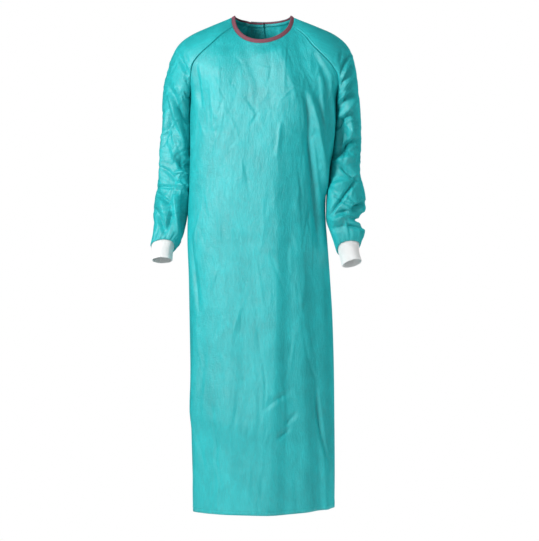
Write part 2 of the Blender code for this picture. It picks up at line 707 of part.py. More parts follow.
def build_binding(rose, gown):
    """The bound neck edge: one tape round the neck whose ends lap at the back, like the panels that they bind."""
    angles = binding_angles()
    seam, rim = neck_points(NECK_SEAM, angles), neck_points(NECK_RIM, angles)
    grid = np.stack([rim, seam])
    outward = normals(grid)
    outward *= np.sign(np.sum(outward * (grid - np.array(NECK_INSIDE)), axis=-1, keepdims=True))
    share = (BACK_ANGLES["right"] - angles) / (BACK_ANGLES["right"] - BACK_ANGLES["left"])
    outer_edge = back_edges()[0][-1]
    inset = np.where(angles < FRONT_HALF_ANGLE, lap_inset(share, outer_edge), 0.0)
    grid = grid + outward * (BINDING_PROUD - inset)[None, :, None]
    grid = part_edge(grid, "top")
    wall("neck_binding", grid, False, BINDING_WALL, rose, gown)


def build_hook_tape(knit, gown):
    """The hook tape that holds the two backs together at the neck, between the outer back and the under one."""
    fine = TAPE_FINENESS
    skin, outward = back_skin(FINE_ACROSS, fine)
    middle = skin - outward * (WALL + BACK_LAP_DEPTH + SEAM_GAP) / 2
    rows = np.rint(np.linspace(*TAPE_RISE, TAPE_ROWS + 1) * ROWS_ABOVE_ARMPIT * fine).astype(int)
    across = np.linspace(*TAPE_SHARES, TAPE_COLUMNS + 1)
    grid = resample(middle[len(levels(fine)) :][rows], FINE_ACROSS, np.tile(across, (len(rows), 1)))
    wall("neck_hook_tape", grid, True, TAPE_WALL, knit, gown, offset=0.0)


def band_grid(side, skin, outward):
    """One band of the tie: the points of the backs' two rows at the waist, moved out."""
    _, outer_at, _, under_at = back_panels()
    band = []
    for row in (ROWS_BELOW_TIE, ROWS_BELOW_TIE + 1):
        free_edge = outer_at[row][-1]
        at = np.append(under_at[row][under_at[row] < free_edge - BAND_STEP_LEAST], outer_at[row][::-1])
        meet = at[np.argmin(np.abs(at - BAND_MEET))]
        shares = at[(at > BAND_START) & (at <= meet)] if side == "right" else at[(at < 1 - BAND_START) & (at >= meet)]
        lifted = skin[row] + outward[row] * (SEAM_GAP + TIE_WALL)
        band.append(np.stack([np.interp(shares, FINE_ACROSS, lifted[:, k]) for k in range(3)], axis=-1))
    return np.array(band)


def build_waist_tie(cloth, gown):
    """Two bands along the back from the side seams, a knot, and the two ends that hang from it."""
    skin, outward = back_skin(FINE_ACROSS)
    right, left = band_grid("right", skin, outward), band_grid("left", skin, outward)
    wall("waist_tie_right", part_edge(right, "last"), True, TIE_WALL, cloth, gown)
    wall("waist_tie_left", part_edge(left, "first"), True, TIE_WALL, cloth, gown)
    knot = np.array([right[:, -1, 0].mean(), right[:, -1, 1].max() + SEAM_GAP + KNOT_SIZE[1] / 2, TIE_HEIGHT])
    build_knot(knot, cloth, gown)
    for side, end in (("left", LEFT_END), ("right", RIGHT_END)):
        wall(f"tie_end_{side}", end_grid(end, knot, skin), True, TIE_WALL, cloth, gown)


def end_grid(end, knot, skin):
    """One end of the tie, hanging from the knot's underside clear of the back."""
    down = np.linspace(0, 1, END_ROWS + 1)
    heights = knot[2] - KNOT_SIZE[2] / 2 - SEAM_GAP - end.length * down
    offsets = end.top_offset + (end.low_offset - end.top_offset) * ease(down)
    width = END_WIDTH * (1 - END_PINCH + END_PINCH * ease(down / END_PINCH_LENGTH))
    back = np.array([np.interp(heights, levels(), skin[: len(levels()), k, 1]) for k in range(skin.shape[1])])
    near = np.abs(FINE_ACROSS - BAND_MEET) < END_REACH
    depth = np.maximum(back[near].max(axis=0) + END_CLEARANCE, knot[1] - (knot[1] - back[near].max()) * down)
    middle = np.stack([knot[0] + offsets, depth, heights], axis=-1)
    sideways = np.array([1.0, 0, 0])[None, :] * width[:, None] / 2
    return np.stack([middle - sideways, middle + sideways], axis=1)[::-1]


def build_knot(middle, cloth, gown):
    """The knot: a block with rounded sides, over the place where the two bands meet."""
    mesh = bpy.data.meshes.new("waist_knot")
    work = bmesh.new()
    bmesh.ops.create_cube(work, size=1.0)
    bmesh.ops.scale(work, vec=[size * MM for size in KNOT_SIZE], verts=work.verts)
    work.to_mesh(mesh)
    work.free()
    obj = place("waist_knot", mesh, cloth, gown)
    obj.location = middle * MM
    rounding = obj.modifiers.new("Rounded sides", "BEVEL")
    rounding.width = KNOT_SIZE[1] * KNOT_ROUNDING * MM
    rounding.segments = KNOT_SEGMENTS


def clear_scene():
    for obj in list(bpy.data.objects):
        bpy.data.objects.remove(obj)


def main():
    clear_scene()
    gown = bpy.data.collections.new("Surgical gown")
    bpy.context.scene.collection.children.link(gown)
    cloth = finish("Teal nonwoven", TEAL, 0.62)
    rose = finish("Rose binding", ROSE, 0.7)
    knit = finish("White knit", KNIT_WHITE, 0.85)
    build_body(cloth, gown)
    for side in ("right", "left"):
        build_sleeve(side, cloth, gown)
        build_cuff(side, knit, gown)
    build_binding(rose, gown)
    build_hook_tape(knit, gown)
    build_waist_tie(cloth, gown)


main()
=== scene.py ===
"""The looks of a surgical gown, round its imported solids: thin cloth, its creases and seams, sewing and knit.

Frame: metres, +Z up, -Y to the front, +X to the wearer's left. The origin lies between the neck's two
shoulder points. The tables of the gown's form are in millimetres, and the meshes are built in metres.
"""

from collections import namedtuple

import bmesh
import bpy
import numpy as np
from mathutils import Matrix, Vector


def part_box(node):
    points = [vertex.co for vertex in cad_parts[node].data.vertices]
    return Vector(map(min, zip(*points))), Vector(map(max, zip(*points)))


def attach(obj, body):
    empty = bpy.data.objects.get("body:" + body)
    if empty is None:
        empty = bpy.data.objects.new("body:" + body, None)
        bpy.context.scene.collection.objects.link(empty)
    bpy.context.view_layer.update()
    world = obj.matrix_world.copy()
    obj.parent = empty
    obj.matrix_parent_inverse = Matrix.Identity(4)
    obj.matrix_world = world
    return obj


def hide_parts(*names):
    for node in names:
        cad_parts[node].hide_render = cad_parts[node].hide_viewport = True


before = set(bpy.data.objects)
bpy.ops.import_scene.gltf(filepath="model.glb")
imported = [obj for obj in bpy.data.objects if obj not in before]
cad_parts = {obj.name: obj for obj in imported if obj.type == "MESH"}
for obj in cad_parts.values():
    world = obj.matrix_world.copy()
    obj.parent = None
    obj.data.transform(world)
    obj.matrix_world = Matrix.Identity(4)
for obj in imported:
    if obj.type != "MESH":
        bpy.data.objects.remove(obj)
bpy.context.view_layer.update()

MM = 0.001

# Driving sizes
HEM_HEIGHT = -1284.0
HEM_LIFT_LEFT = 9.0
ARMPIT_HEIGHT = -216.0
CAD_WALL = 1.5
CAD_GAP = 0.3
BACK_LAP_DEPTH = 4.5
CUFF_WALL = 2.0
CUFF_IN_SLEEVE = 7.0
CUFF_TAPER = 0.8
TIE_WIDTH = 22.0
TIE_HEIGHT = -462.0
CLOTH = 0.8
TIE_CLOTH = 1.2

# How finely the cloth is divided: rows for each row of the solids, and columns across each piece
FINE = 8
ROWS_BELOW_TIE = 15
ROWS_ABOVE_TIE = 8
ROWS_ABOVE_ARMPIT = 8
SLEEVE_ROWS_BELOW = 17
FRONT_COLUMNS = 180
OUTER_BACK_COLUMNS = 96
UNDER_BACK_COLUMNS = 84
SLEEVE_COLUMNS = 200
ABOVE = ROWS_ABOVE_ARMPIT * FINE

# The body's outline: how far it reaches to the wearer's right and left, how far back the side seams lie, how
# far the front and the back reach, and how square it is
Section = namedtuple("Section", "height right left seam front back square")
BODY = (
    Section(-1300, -178, 185, -6, -141, 126, 0.80),
    Section(-1200, -182, 186, -6, -139, 126, 0.80),
    Section(-1050, -186, 185, -8, -135, 124, 0.80),
    Section(-900, -188, 183, -10, -131, 121, 0.80),
    Section(-780, -190, 179, -12, -127, 117, 0.80),
    Section(-670, -192, 172, -14, -124, 112, 0.80),
    Section(-590, -195, 166, -16, -123, 105, 0.82),
    Section(-520, -194, 161, -18, -123, 97, 0.84),
    Section(-462, -191, 163, -19, -124, 93, 0.85),
    Section(-400, -189, 173, -20, -126, 100, 0.85),
    Section(-345, -188, 182, -20, -127, 110, 0.85),
    Section(-280, -188, 188, -20, -126, 116, 0.85),
    Section(-216, -188, 190, -18, -121, 119, 0.85),
)

# The middle of the front and of the back, from the armpit's level at share 0 up to the neck's seam at share 1
Chest = namedtuple("Chest", "share front_depth front_height back_depth back_height front_square back_square")
CHEST = (
    Chest(0.00, -121, -216, 119, -216, 0.85, 0.85),
    Chest(0.20, -119, -197, 118, -180, 1.10, 1.10),
    Chest(0.40, -116, -175, 116, -142, 1.45, 1.40),
    Chest(0.60, -111, -150, 110, -102, 1.60, 1.50),
    Chest(0.80, -103, -117, 98, -60, 1.40, 1.30),
    Chest(1.00, -92, -82.5, 80, -19, 1.00, 1.00),
)

# The raglan seams, from the armpit up. They end on the neck's seam.
SeamPoint = namedtuple("SeamPoint", "right left depth height")
FRONT_RAGLAN = (
    SeamPoint(-188, 190, -18, -216),
    SeamPoint(-187, 193, -50, -196),
    SeamPoint(-185, 192, -73, -164),
    SeamPoint(-180, 175, -83, -136),
    SeamPoint(-160, 150, -84, -110),
    SeamPoint(-133, 126, -77, -85),
    SeamPoint(-106, 106, -59, -58),
)
BACK_RAGLAN = (
    SeamPoint(-188, 190, -18, -216),
    SeamPoint(-187, 189, 22, -204),
    SeamPoint(-184, 185, 58, -178),
    SeamPoint(-174, 174, 86, -143),
    SeamPoint(-147, 147, 97, -104),
    SeamPoint(-114, 114, 84, -62),
    SeamPoint(-90, 91, 58, -32),
)

# The neck: the seam that the binding is sewn to, and the finished rim. Angle 0 is the wearer's left shoulder
# point, and the angles grow towards the back.
Neck = namedtuple("Neck", "middle half_width front back point_height front_drop front_tilt back_drop")
NECK_SEAM = Neck(-0.5, 80, 92, 80, -6.5, 76, 5, 12.5)
NECK_RIM = Neck(-0.5, 72, 85, 75, -1.5, 71, 5, 7)
NECK_FRONT_SWELL = 0.9
FRONT_RAGLAN_ANGLE = 17.5
BACK_RAGLAN_ANGLE = 27.0
NECK_INSIDE = (0.0, 0.0, -150.0)
FRONT_HALF_ANGLE = 200.0
# How late the rows take on the neck's curve, as a power, and how often a raglan seam's points are evened
NECK_BLEND = 3
SEAM_PASSES = 3

# The sleeves. Stage 0 is the neck, 1 the armpit and 2 the cuff's seam. The outer line runs over the shoulder
# and down the arm, the inner line from the armpit down. Fullness is how far the cloth swells to the front and
# back, and lean is how far the round is tipped, in degrees.
Outer = namedtuple("Outer", "stage x y z fullness")
Inner = namedtuple("Inner", "stage x y z lean")
RIGHT_OUTER = (
    Outer(0.00, -81, 0, -5, 0),
    Outer(0.20, -137, 4, -29, 8),
    Outer(0.40, -188, 8, -53, 10),
    Outer(0.55, -220, 12, -78, 14),
    Outer(0.70, -240, 16, -117, 22),
    Outer(0.85, -256, 20, -169, 38),
    Outer(1.00, -264, 24, -232, 60),
    Outer(1.20, -262, 28, -302, 60),
    Outer(1.35, -266, 30, -353, 58),
    Outer(1.50, -271, 28, -406, 57),
    Outer(1.65, -278, 20, -459, 56),
    Outer(1.80, -286, 4, -511, 54),
    Outer(1.90, -284, -12, -552, 44),
    Outer(2.00, -290, -30, -601, 30),
)
RIGHT_INNER = (
    Inner(1.00, -188.6, -18, -216, 0),
    Inner(1.10, -187.5, 14, -255, 0),
    Inner(1.20, -187, 26, -292, 0),
    Inner(1.35, -187, 29, -348, 0),
    Inner(1.50, -188, 27, -402, 0),
    Inner(1.65, -191, 18, -455, 6),
    Inner(1.80, -195.5, 2, -512, 16),
    Inner(1.90, -203, -13, -555, 26),
    Inner(1.95, -210, -22, -578, 32),
    Inner(2.00, -229, -30, -604, 38),
)
LEFT_OUTER = (
    Outer(0.00, 80, 0, -5, 0),
    Outer(0.20, 139, 4, -29, 8),
    Outer(0.40, 190, 8, -53, 10),
    Outer(0.55, 222, 12, -82, 14),
    Outer(0.70, 238, 16, -122, 22),
    Outer(0.85, 247, 19, -175, 38),
    Outer(1.00, 253, 20, -232, 60),
    Outer(1.20, 256, 18, -302, 60),
    Outer(1.35, 255, 8, -353, 58),
    Outer(1.50, 253, -6, -410, 57),
    Outer(1.60, 260, -14, -446, 57),
    Outer(1.70, 266, -21, -482, 56),
    Outer(1.80, 264, -28, -512, 52),
    Outer(1.88, 239, -34, -538, 42),
    Outer(1.94, 262, -41, -561, 40),
    Outer(2.00, 250, -46, -599, 29),
)
LEFT_INNER = (
    Inner(1.00, 190.6, -18, -216, 0),
    Inner(1.10, 188.5, 10, -255, 0),
    Inner(1.20, 186, 22, -292, 0),
    Inner(1.35, 180.5, 22, -348, 0),
    Inner(1.50, 174, 4, -402, 2),
    Inner(1.60, 169, -10, -436, 4),
    Inner(1.70, 164.6, -24, -470, 8),
    Inner(1.80, 163.2, -33, -508, 14),
    Inner(1.88, 164, -38, -536, 20),
    Inner(1.94, 174, -42, -564, 28),
    Inner(2.00, 192, -47, -612, 38),
)

# The cuffs. Two rings lie against the inside of the sleeve's end, and these two lead on to the open end.
CuffRing = namedtuple("CuffRing", "x y z radius lean tilt")
RIGHT_CUFF = (
    CuffRing(-260.0, -39.0, -622, 26.6, 26, 0),
    CuffRing(-260.0, -45.0, -637, 26.2, 18, 0),
)
LEFT_CUFF = (
    CuffRing(224.5, -54.5, -627, 25.4, 30, -14),
    CuffRing(229.0, -61.0, -645, 26.0, 22, -14),
)

# Where the backs end, as shares across from the wearer's right side seam (0) to the left one (1)
BackEdge = namedtuple("BackEdge", "height outer under")
BACK_EDGES = (
    BackEdge(-1281, 0.30, 0.66),
    BackEdge(-462, 0.29, 0.62),
    BackEdge(-216, 0.29, 0.58),
    BackEdge(-19, 0.30, 0.51),
)
LAP_TURN = 0.09
LAP_TURN_USED = 0.8

Fade = namedtuple("Fade", "start width")

# The folds. Each runs from (x0, z0) to (x1, z1) as seen from the front, bowed sideways in the middle, and
# fades over its widths on the side of -X (right) and +X (left). Height is outwards, or inwards below 0. Edge
# sharpens its line.
Fold = namedtuple("Fold", "x0 z0 x1 z1 bow right left height edge")
FRONT_FOLDS = (
    Fold(34, -200, 0, -1500, 14, 80, 84, 9, 0.7),
    Fold(64, -440, 54, -1500, 0, 26, 26, -3, 0),
    Fold(92, -400, 112, -1500, 0, 28, 26, 3.5, 0),
    Fold(136, -560, 142, -1500, 0, 24, 22, -3, 0),
    Fold(103, -205, 150, -640, 4, 20, 11, -11, 0.7),
    Fold(115, -203, 162, -480, 6, 11, 20, 10, 0.7),
    Fold(143, -134, 161, -333, 0, 8, 11, 4, 0.8),
    Fold(173, -160, 183.5, -332, 0, 8, 8, 3, 0.8),
    Fold(-172, -134, -156, -251, 0, 13, 8, -4, 0.8),
    Fold(-188, -551, -162, -775, -3, 8, 13, -5, 0.7),
    Fold(-175, -734, -172, -1500, 0, 10, 23, 4, 0.3),
    Fold(26, -30, 122, -320, -8, 84, 56, 12, 0.6),
    Fold(126, -104, 176, -190, 0, 30, 12, -4, 0),
    Fold(-99, -91, -124, -307, 0, 42, 47, 4, 0),
    Fold(-43, -223, -15, -266, 0, 8, 8, -2, 0.7),
    Fold(-8, -258, -34, -300, 0, 6, 8, -1.6, 0.7),
    Fold(44, -282, 33, -383, 0, 6.5, 13, 3, 0.8),
    Fold(94.5, -218, 105, -312, 0, 5, 8, 3, 0.8),
    Fold(139, -958, 167, -1151, -5, 10, 6.5, -7, 0.9),
    Fold(74, -971, 3, -1016, -5, 10, 8, -4.5, 0.8),
    Fold(87, -1024, 54, -1055, 0, 8, 8, -5, 0.8),
    Fold(69, -1062, 31, -1093, 0, 8, 8, -5, 0.8),
    Fold(-2, -1182, -5, -1240, 0, 8, 8, -2, 0.6),
    Fold(150, -1044, 173, -1500, 0, 13, 13, 4, 0.3),
    Fold(-80, -640, -92, -1500, 0, 40, 40, 2, 0),
    Fold(-240, -1000, 60, -1090, -10, 64, 170, 6, 0.2),
    Fold(143, -140, 135, -172, 0, 5, 7, 1.6, 0.6),
    Fold(151, -160, 156, -224, 0, 5, 7, 1.8, 0.6),
    Fold(174, -180, 169, -228, 0, 5, 6, 1.5, 0.6),
)
BACK_FOLDS = (
    Fold(-120, -150, -60, -450, 6, 20, 24, -6, 0.5),
    Fold(118, -150, 62, -450, -6, 24, 20, -6, 0.5),
    Fold(-150, -200, -112, -455, 0, 20, 24, 7, 0.5),
    Fold(150, -200, 108, -455, 0, 24, 20, 7, 0.5),
    Fold(20, -130, 6, -440, 0, 30, 30, 6, 0.3),
    Fold(-58, -470, -86, -1500, 0, 28, 26, 8, 0.3),
    Fold(-118, -480, -140, -1500, 0, 24, 24, -7, 0.3),
    Fold(56, -470, 90, -1500, 0, 26, 28, 8, 0.3),
    Fold(112, -480, 138, -1500, 0, 24, 24, -7, 0.3),
    Fold(8, -520, 18, -1500, 0, 26, 26, -6, 0.3),
    Fold(-32, 20, -44, -220, 0, 10, 13, -2.4, 0.4),
    Fold(42, 20, 56, -240, 0, 13, 10, -2.8, 0.4),
    Fold(-92, -476, -96, -610, 0, 9, 8, 2.6, 0.6),
    Fold(-34, -476, -30, -570, 0, 7, 9, -2.2, 0.6),
    Fold(38, -476, 44, -590, 0, 8, 8, 2.4, 0.6),
    Fold(92, -476, 96, -566, 0, 7, 8, -2.4, 0.6),
    Fold(-30, -448, -40, -370, 0, 8, 8, 2.2, 0.6),
    Fold(46, -448, 58, -350, 0, 8, 9, -2.4, 0.6),
    Fold(-76, -448, -84, -376, 0, 7, 8, -2.0, 0.6),
    Fold(120, -900, 98, -1130, 4, 9, 12, -3, 0.6),
    Fold(-96, -860, -70, -1040, -4, 12, 9, 3, 0.6),
)
RIGHT_SLEEVE_FOLDS = (
    Fold(-255, -247, -222, -404, 0, 10, 24, 4, 0.8),
    Fold(-247, -252, -192, -376, 4, 12, 22, -4, 0.8),
    Fold(-222, -96, -189, -168, -5, 7, 13, -6, 0.9),
    Fold(-207, -72, -184, -104, 0, 16, 16, 3, 0.2),
    Fold(-203, -168, -189, -188, 0, 5, 6, -3, 0.9),
    Fold(-202, -205, -189, -222, 0, 5, 6, -3, 0.9),
    Fold(-247, -180, -190, -286, -7, 7, 18, -5.5, 0.8),
    Fold(-237, -214, -198, -366, 0, 16, 14, 7, 0.5),
    Fold(-250, -212, -232, -352, -4, 9, 9, -6, 0.6),
    Fold(-241, -266, -254, -346, 0, 8, 8, -4, 0.7),
    Fold(-255, -271, -263, -462, 0, 13, 18, 5, 0.2),
    Fold(-232, -378, -182, -400, 0, 17, 18, -9, 0.5),
    Fold(-233, -414, -189, -424, 9, 6, 8, 3.5, 0.8),
    Fold(-227, -441, -186, -448, 0, 18, 18, 6, 0.4),
    Fold(-229, -458, -214, -592, -4, 9, 26, 5, 0.9),
    Fold(-199, -466, -203, -592, 0, 22, 16, -7, 0.3),
    Fold(-265, -467, -245, -544, 0, 21, 21, 6, 0.3),
    Fold(-277, -462, -236, -494, 0, 8, 8, -5, 0.8),
    Fold(-284, -500, -250, -574, 0, 8, 10, -6, 0.9),
    Fold(-232, -508, -251, -574, 0, 8, 8, -4.5, 0.8),
    Fold(-280, -449, -226, -450, 2, 7, 7, -3.4, 0.8),
    Fold(-262, -392, -224, -430, 0, 8, 8, -2.6, 0.7),
    Fold(-214, -432, -192, -462, 0, 6, 7, -3, 0.8),
)
LEFT_SLEEVE_FOLDS = (
    Fold(196, -250, 236, -330, 0, 12, 16, 4, 0.8),
    Fold(206, -76, 196, -136, 0, 6, 7, -2.6, 0.8),
    Fold(229, -92, 197, -168, -3, 5, 7, -3.6, 0.8),
    Fold(233, -104, 201, -178, -3, 5, 6, 3.6, 0.8),
    Fold(236, -124, 200, -192, -2, 5, 6, -3.8, 0.9),
    Fold(238, -142, 203, -200, 0, 5, 6, 3.6, 0.8),
    Fold(243, -164, 196, -222, 0, 6, 7, -4, 0.9),
    Fold(226, -176, 193, -238, 0, 8, 8, 4, 0.7),
    Fold(246, -194, 196, -240, 0, 8, 12, -6, 0.7),
    Fold(240, -216, 204, -276, 0, 18, 16, 6, 0.4),
    Fold(236, -236, 188, -302, 0, 9, 12, -7, 0.8),
    Fold(226, -262, 222, -336, 0, 9, 12, 4, 0.7),
    Fold(204, -290, 196, -352, 0, 12, 10, -5, 0.6),
    Fold(256, -322, 180, -380, -10, 11, 13, -9, 0.7),
    Fold(183, -392, 244, -364, 0, 20, 18, 7, 0.5),
    Fold(186, -386, 254, -436, 0, 9, 10, -5, 0.7),
    Fold(214, -342, 206, -396, 0, 7, 7, -2.4, 0.7),
    Fold(175, -456, 226, -432, 0, 22, 20, 6, 0.4),
    Fold(246, -420, 165, -530, 0, 8, 9, -5.5, 0.9),
    Fold(268, -484, 222, -518, 0, 12, 13, -9, 0.6),
    Fold(206, -496, 254, -534, 0, 10, 12, 4, 0.6),
    Fold(178, -470, 226, -500, 0, 7, 8, -3.2, 0.8),
    Fold(173, -560, 214, -548, 0, 8, 9, -6, 0.8),
    Fold(214, -548, 262, -556, 0, 8, 9, -7, 0.8),
    Fold(175, -538, 234, -520, 0, 13, 13, 6, 0.5),
    Fold(184, -520, 240, -504, 0, 6, 6, -2.6, 0.8),
)
# How much flatter the sleeve's cloth lies beside the body than a round tube would, from the armpit down
SLEEVE_FLATTER = 0.8
SLEEVE_FLATTER_FADE = Fade(0.80, 0.30)
# The folds behind a sleeve: how much lower they lie than those in front, and their share of the height
BEHIND_SHIFT = -34.0
BEHIND_SHARE = 0.75
# How sharp a fold's line is, and how soon it rises from its ends, as powers
FOLD_SHARPNESS = 1.25
FOLD_ENDS = 0.7

# The cloth's folds stand out more than the solids' do: how many times as deep, and how much sharper
Crisp = namedtuple("Crisp", "depth edge")
FRONT_CRISP = Crisp(1.5, 0.15)
BACK_CRISP = Crisp(1.9, 0.3)
SLEEVE_CRISP = Crisp(2.5, 0.50)

# Small creases, seeded: how many, where they lie, their lean from upright in degrees, and their sizes
Creases = namedtuple("Creases", "count x z lean length width height seed")
FRONT_CREASES = Creases(80, (-165, 165), (-1250, -120), 14, (50, 190), (3.5, 8), 2.0, 11)
CHEST_CREASES = Creases(34, (-120, 150), (-330, -100), 34, (25, 80), (3, 6), 1.2, 12)
BACK_CREASES = Creases(80, (-165, 165), (-1250, -100), 16, (50, 190), (4, 9), 2.0, 13)
RIGHT_CREASES = Creases(60, (-285, -195), (-590, -80), 50, (24, 80), (3.5, 8), 3.0, 14)
LEFT_CREASES = Creases(60, (170, 262), (-590, -80), 50, (24, 80), (3.5, 8), 3.0, 15)
CREASE_BOW = 0.08
CREASE_LOWEST = 0.4
CREASE_FAR_SIDE = 1.3
CREASE_EDGE = 0.6

# Soft swells and wrinkles that cover the cloth: their size across and along it, their lean and their height.
# They wander on a broader noise.
Swell = namedtuple("Swell", "across along lean height ridged seed")
PANEL_SWELLS = (
    Swell(95, 330, 0.06, 1.6, False, 21),
    Swell(46, 120, -0.15, 0.9, False, 22),
    Swell(24, 60, 0.25, 0.55, True, 23),
    Swell(11, 38, -0.12, 0.22, True, 24),
)
SLEEVE_SWELLS = (
    Swell(60, 90, 0.4, 1.2, False, 31),
    Swell(26, 46, -0.6, 0.9, True, 32),
    Swell(12, 24, 0.5, 0.4, True, 33),
)
NOISE_SIZE = 128
WANDER_ACROSS = 2.3
WANDER_ALONG = 1.7
WANDER_SEED = 500
BACK_SWELLS_FROM = 700.0

# What the two sleeves differ in. The turn is 1 or -1 for the way that their columns run, and their swells
# start at different lengths of cloth.
Arm = namedtuple("Arm", "outer inner cuff folds creases turn swells_from seed")
ARMS = {
    "right": Arm(RIGHT_OUTER, RIGHT_INNER, RIGHT_CUFF, RIGHT_SLEEVE_FOLDS, RIGHT_CREASES, 1, 0.0, 61),
    "left": Arm(LEFT_OUTER, LEFT_INNER, LEFT_CUFF, LEFT_SLEEVE_FOLDS, LEFT_CREASES, -1, 900.0, 71),
}

# Creases left by packing: one line down from the neck to the chest, and two across the front
PACKING_LINE_X = 19.0
PACKING_LINE_END = -262.0
PACKING_LINE_FADE = 30.0
PACKING_LINES_Z = (-564.0, -762.0)
PACKING_HEIGHT = 0.9
PACKING_CROSS_SHARE = 0.4
PACKING_WIDTH = 2.8

# Where the folds fade out: at the neck, at a sleeve's two ends, beside the underarm seam, and between the
# front and the back of a sleeve
NECK_FADE = Fade(0.80, 0.20)
BACK_NECK_FADE = Fade(0.90, 0.10)
SLEEVE_TOP_FADE = Fade(0.42, 0.30)
SLEEVE_END_FADE = Fade(2.00, 0.06)
UNDERARM_FADE = Fade(0.05, 0.13)
UNDERARM_HOLLOW_FADE = Fade(0.01, 0.08)
SLEEVE_FRONT_FADE = Fade(0.56, 0.12)
SLEEVE_BACK_FADE = Fade(0.44, 0.12)
# The share of a row, beside each side seam, over which the folds fade out
FRONT_MARGIN = 0.07
BACK_MARGIN = 0.10
SLEEVE_MARGIN = 0.08

# The change of form at the armpit's level is softened: over so many rows, in so many passes, inside a margin
ARMPIT_ROWS = 18
ARMPIT_PASSES = 60
ARMPIT_MARGIN = 0.12

# The seams: cloth turned in at the line, with a soft roll beside it, and their sewing
ROLL_HEIGHT = 0.7
ROLL_AT = 3.6
ROLL_WIDTH = 1.8
SEAM_DEPTH = 0.4
SEAM_WIDTH = 0.9
HEM_TURN = 11.0
HEM_THICKNESS = 0.6
Sewing = namedtuple("Sewing", "pitch length radius")
SEAM_SEWING = Sewing(3.6, 2.5, 0.34)
TIE_SEWING = Sewing(3.2, 2.3, 0.26)
SEAM_STITCHES_AT = 2.0
SLEEVE_STITCHES_AT = 1.9
EDGE_STITCHES_AT = 9.0

# A stitch: rings along a thread, as shares of half its length and of its radius, and how far out they lie
StitchRing = namedtuple("StitchRing", "share size out")
STITCH_RINGS = (
    StitchRing(-1, 0.3, -0.9),
    StitchRing(-0.6, 0.85, -0.2),
    StitchRing(0, 1, 0.1),
    StitchRing(0.6, 0.85, -0.2),
    StitchRing(1, 0.3, -0.9),
)
STITCH_SIDES = 6
STITCH_SLIP = 0.15
STITCH_PROUD = 0.1

# A short seam on the wearer's right forearm, as seen from the front
FOREARM_SEAM = ((-230, -400), (-230, -460), (-250, -551))
FOREARM_STEP = 4.0

# The gathers over the cuffs: pleats round the sleeve with the turn they start at, their height, how far the
# cloth stands out between them, how far up they fade, and where the sleeve's end closes on the cuff
GATHERS = ((9, 0.2), (14, 1.1), (17, 2.7), (23, 4.0))
GATHER_HEIGHT = 1.9
GATHER_FULLNESS = 0.6
GATHER_LENGTH = 24.0
GATHER_FADE = 1.5
SLEEVE_END_LENGTH = 2.5

# The rib knit. It sags in a few broad waves round the cuff: how many, how high, and the turn they start at.
RIBS = 58
RIB_HEIGHT = 0.34
RIB_DEPTH = 0.2
INNER_RIB_SHARE = 0.8
CUFF_COLUMNS = RIBS * 4
CUFF_ROWS = 22
SAG = ((3, 0.5, 1.0), (7, 0.35, 0.0))
SAG_START = 0.4
ROLL_TURNS = (30, 60, 90, 120, 150)
ROLL_FULLNESS = 0.55

# The waist tie's bands: where they run, how their edges roll in, how their cloth waves and gathers, and how
# much they are drawn together at the knot
BAND_START = 0.02
BAND_MEET = 0.50
BAND_COLUMNS = 130
BAND_CLEAR = 0.3
BAND_EDGE_DEPTH = 0.35
BAND_EDGE_WIDTH = 1.2
BAND_WAVE = 0.25
BAND_GATHER = 0.9
BAND_GATHER_LENGTH = 26.0
BAND_DRAW_IN = 0.30
BAND_DRAW_LENGTH = 16.0

# The tie's knot: its pinch in the middle, its fill of the solid's box, and the loop's radius and reach
KNOT_PINCH = 0.30
KNOT_FILL = 0.86
KNOT_FLATTER = 0.72
LOOP_RADIUS = 1.3
LOOP_HALF_WIDTH = 7.2
LOOP_LEAN = 2.4

# The tie's two hanging ends: where they start and end beside the knot, their length, and how they are shaped
TieEnd = namedtuple("TieEnd", "top_offset low_offset length curl")
LEFT_END = TieEnd(9.5, 24.0, 235.0, 5.0)
RIGHT_END = TieEnd(-9.5, -17.0, 215.0, -4.0)
END_WIDTH = 17.0
END_NARROW = 0.62
END_START = 3.0
END_CLEARANCE = 5.0
END_REACH = 0.12
END_CUP = 1.1
END_GATHER = 1.4
END_WAVE = 1.2

# The hook tape between the backs: its shares across, and how far up from the armpit's level
TAPE_SHARES = (0.335, 0.465)
TAPE_RISE = (0.86, 0.97)
TAPE_COLUMNS = 30
TAPE_WALL = 1.8

# The columns that the back is measured on, for its lengths across and for where the tie's ends clear it
BACK_COLUMNS_MEASURED = 240
END_COLUMNS_MEASURED = 120


# The gown's form

def column(table, name):
    """One named column of a table."""
    return np.array([getattr(row, name) for row in table], float)


def smooth(at, knots, values):
    """The values between the knots, on a cubic curve through all of them."""
    knots, values = np.asarray(knots, float), np.asarray(values, float)
    order = np.argsort(knots)
    knots, values = knots[order], values[order]
    rise = np.diff(values) / np.diff(knots)
    slope = np.concatenate([rise[:1], (rise[:-1] + rise[1:]) / 2, rise[-1:]])
    at = np.clip(at, knots[0], knots[-1])
    k = np.clip(np.searchsorted(knots, at, side="right") - 1, 0, len(knots) - 2)
    width = knots[k + 1] - knots[k]
    t = (at - knots[k]) / width
    return (
        values[k] * (1 + 2 * t) * (1 - t) ** 2
        + values[k + 1] * (3 - 2 * t) * t**2
        + width * (slope[k] * t * (1 - t) ** 2 - slope[k + 1] * t**2 * (1 - t))
    )


def smooth_path(at, knots, points):
    """Points on a smooth path through the given ones."""
    return np.stack([smooth(at, knots, line) for line in points.T], axis=-1)


def places(table):
    """The places of a table's rows."""
    return np.stack([column(table, name) for name in "xyz"], axis=-1)


def ease(share):
    """0 up to 1 with level ends, for shares from 0 to 1."""
    share = np.clip(share, 0, 1)
    return share * share * (3 - 2 * share)


def fade_in(values, fade):
    """0 up to the fade's start, and 1 from its width past it."""
    return ease((values - fade.start) / fade.width)


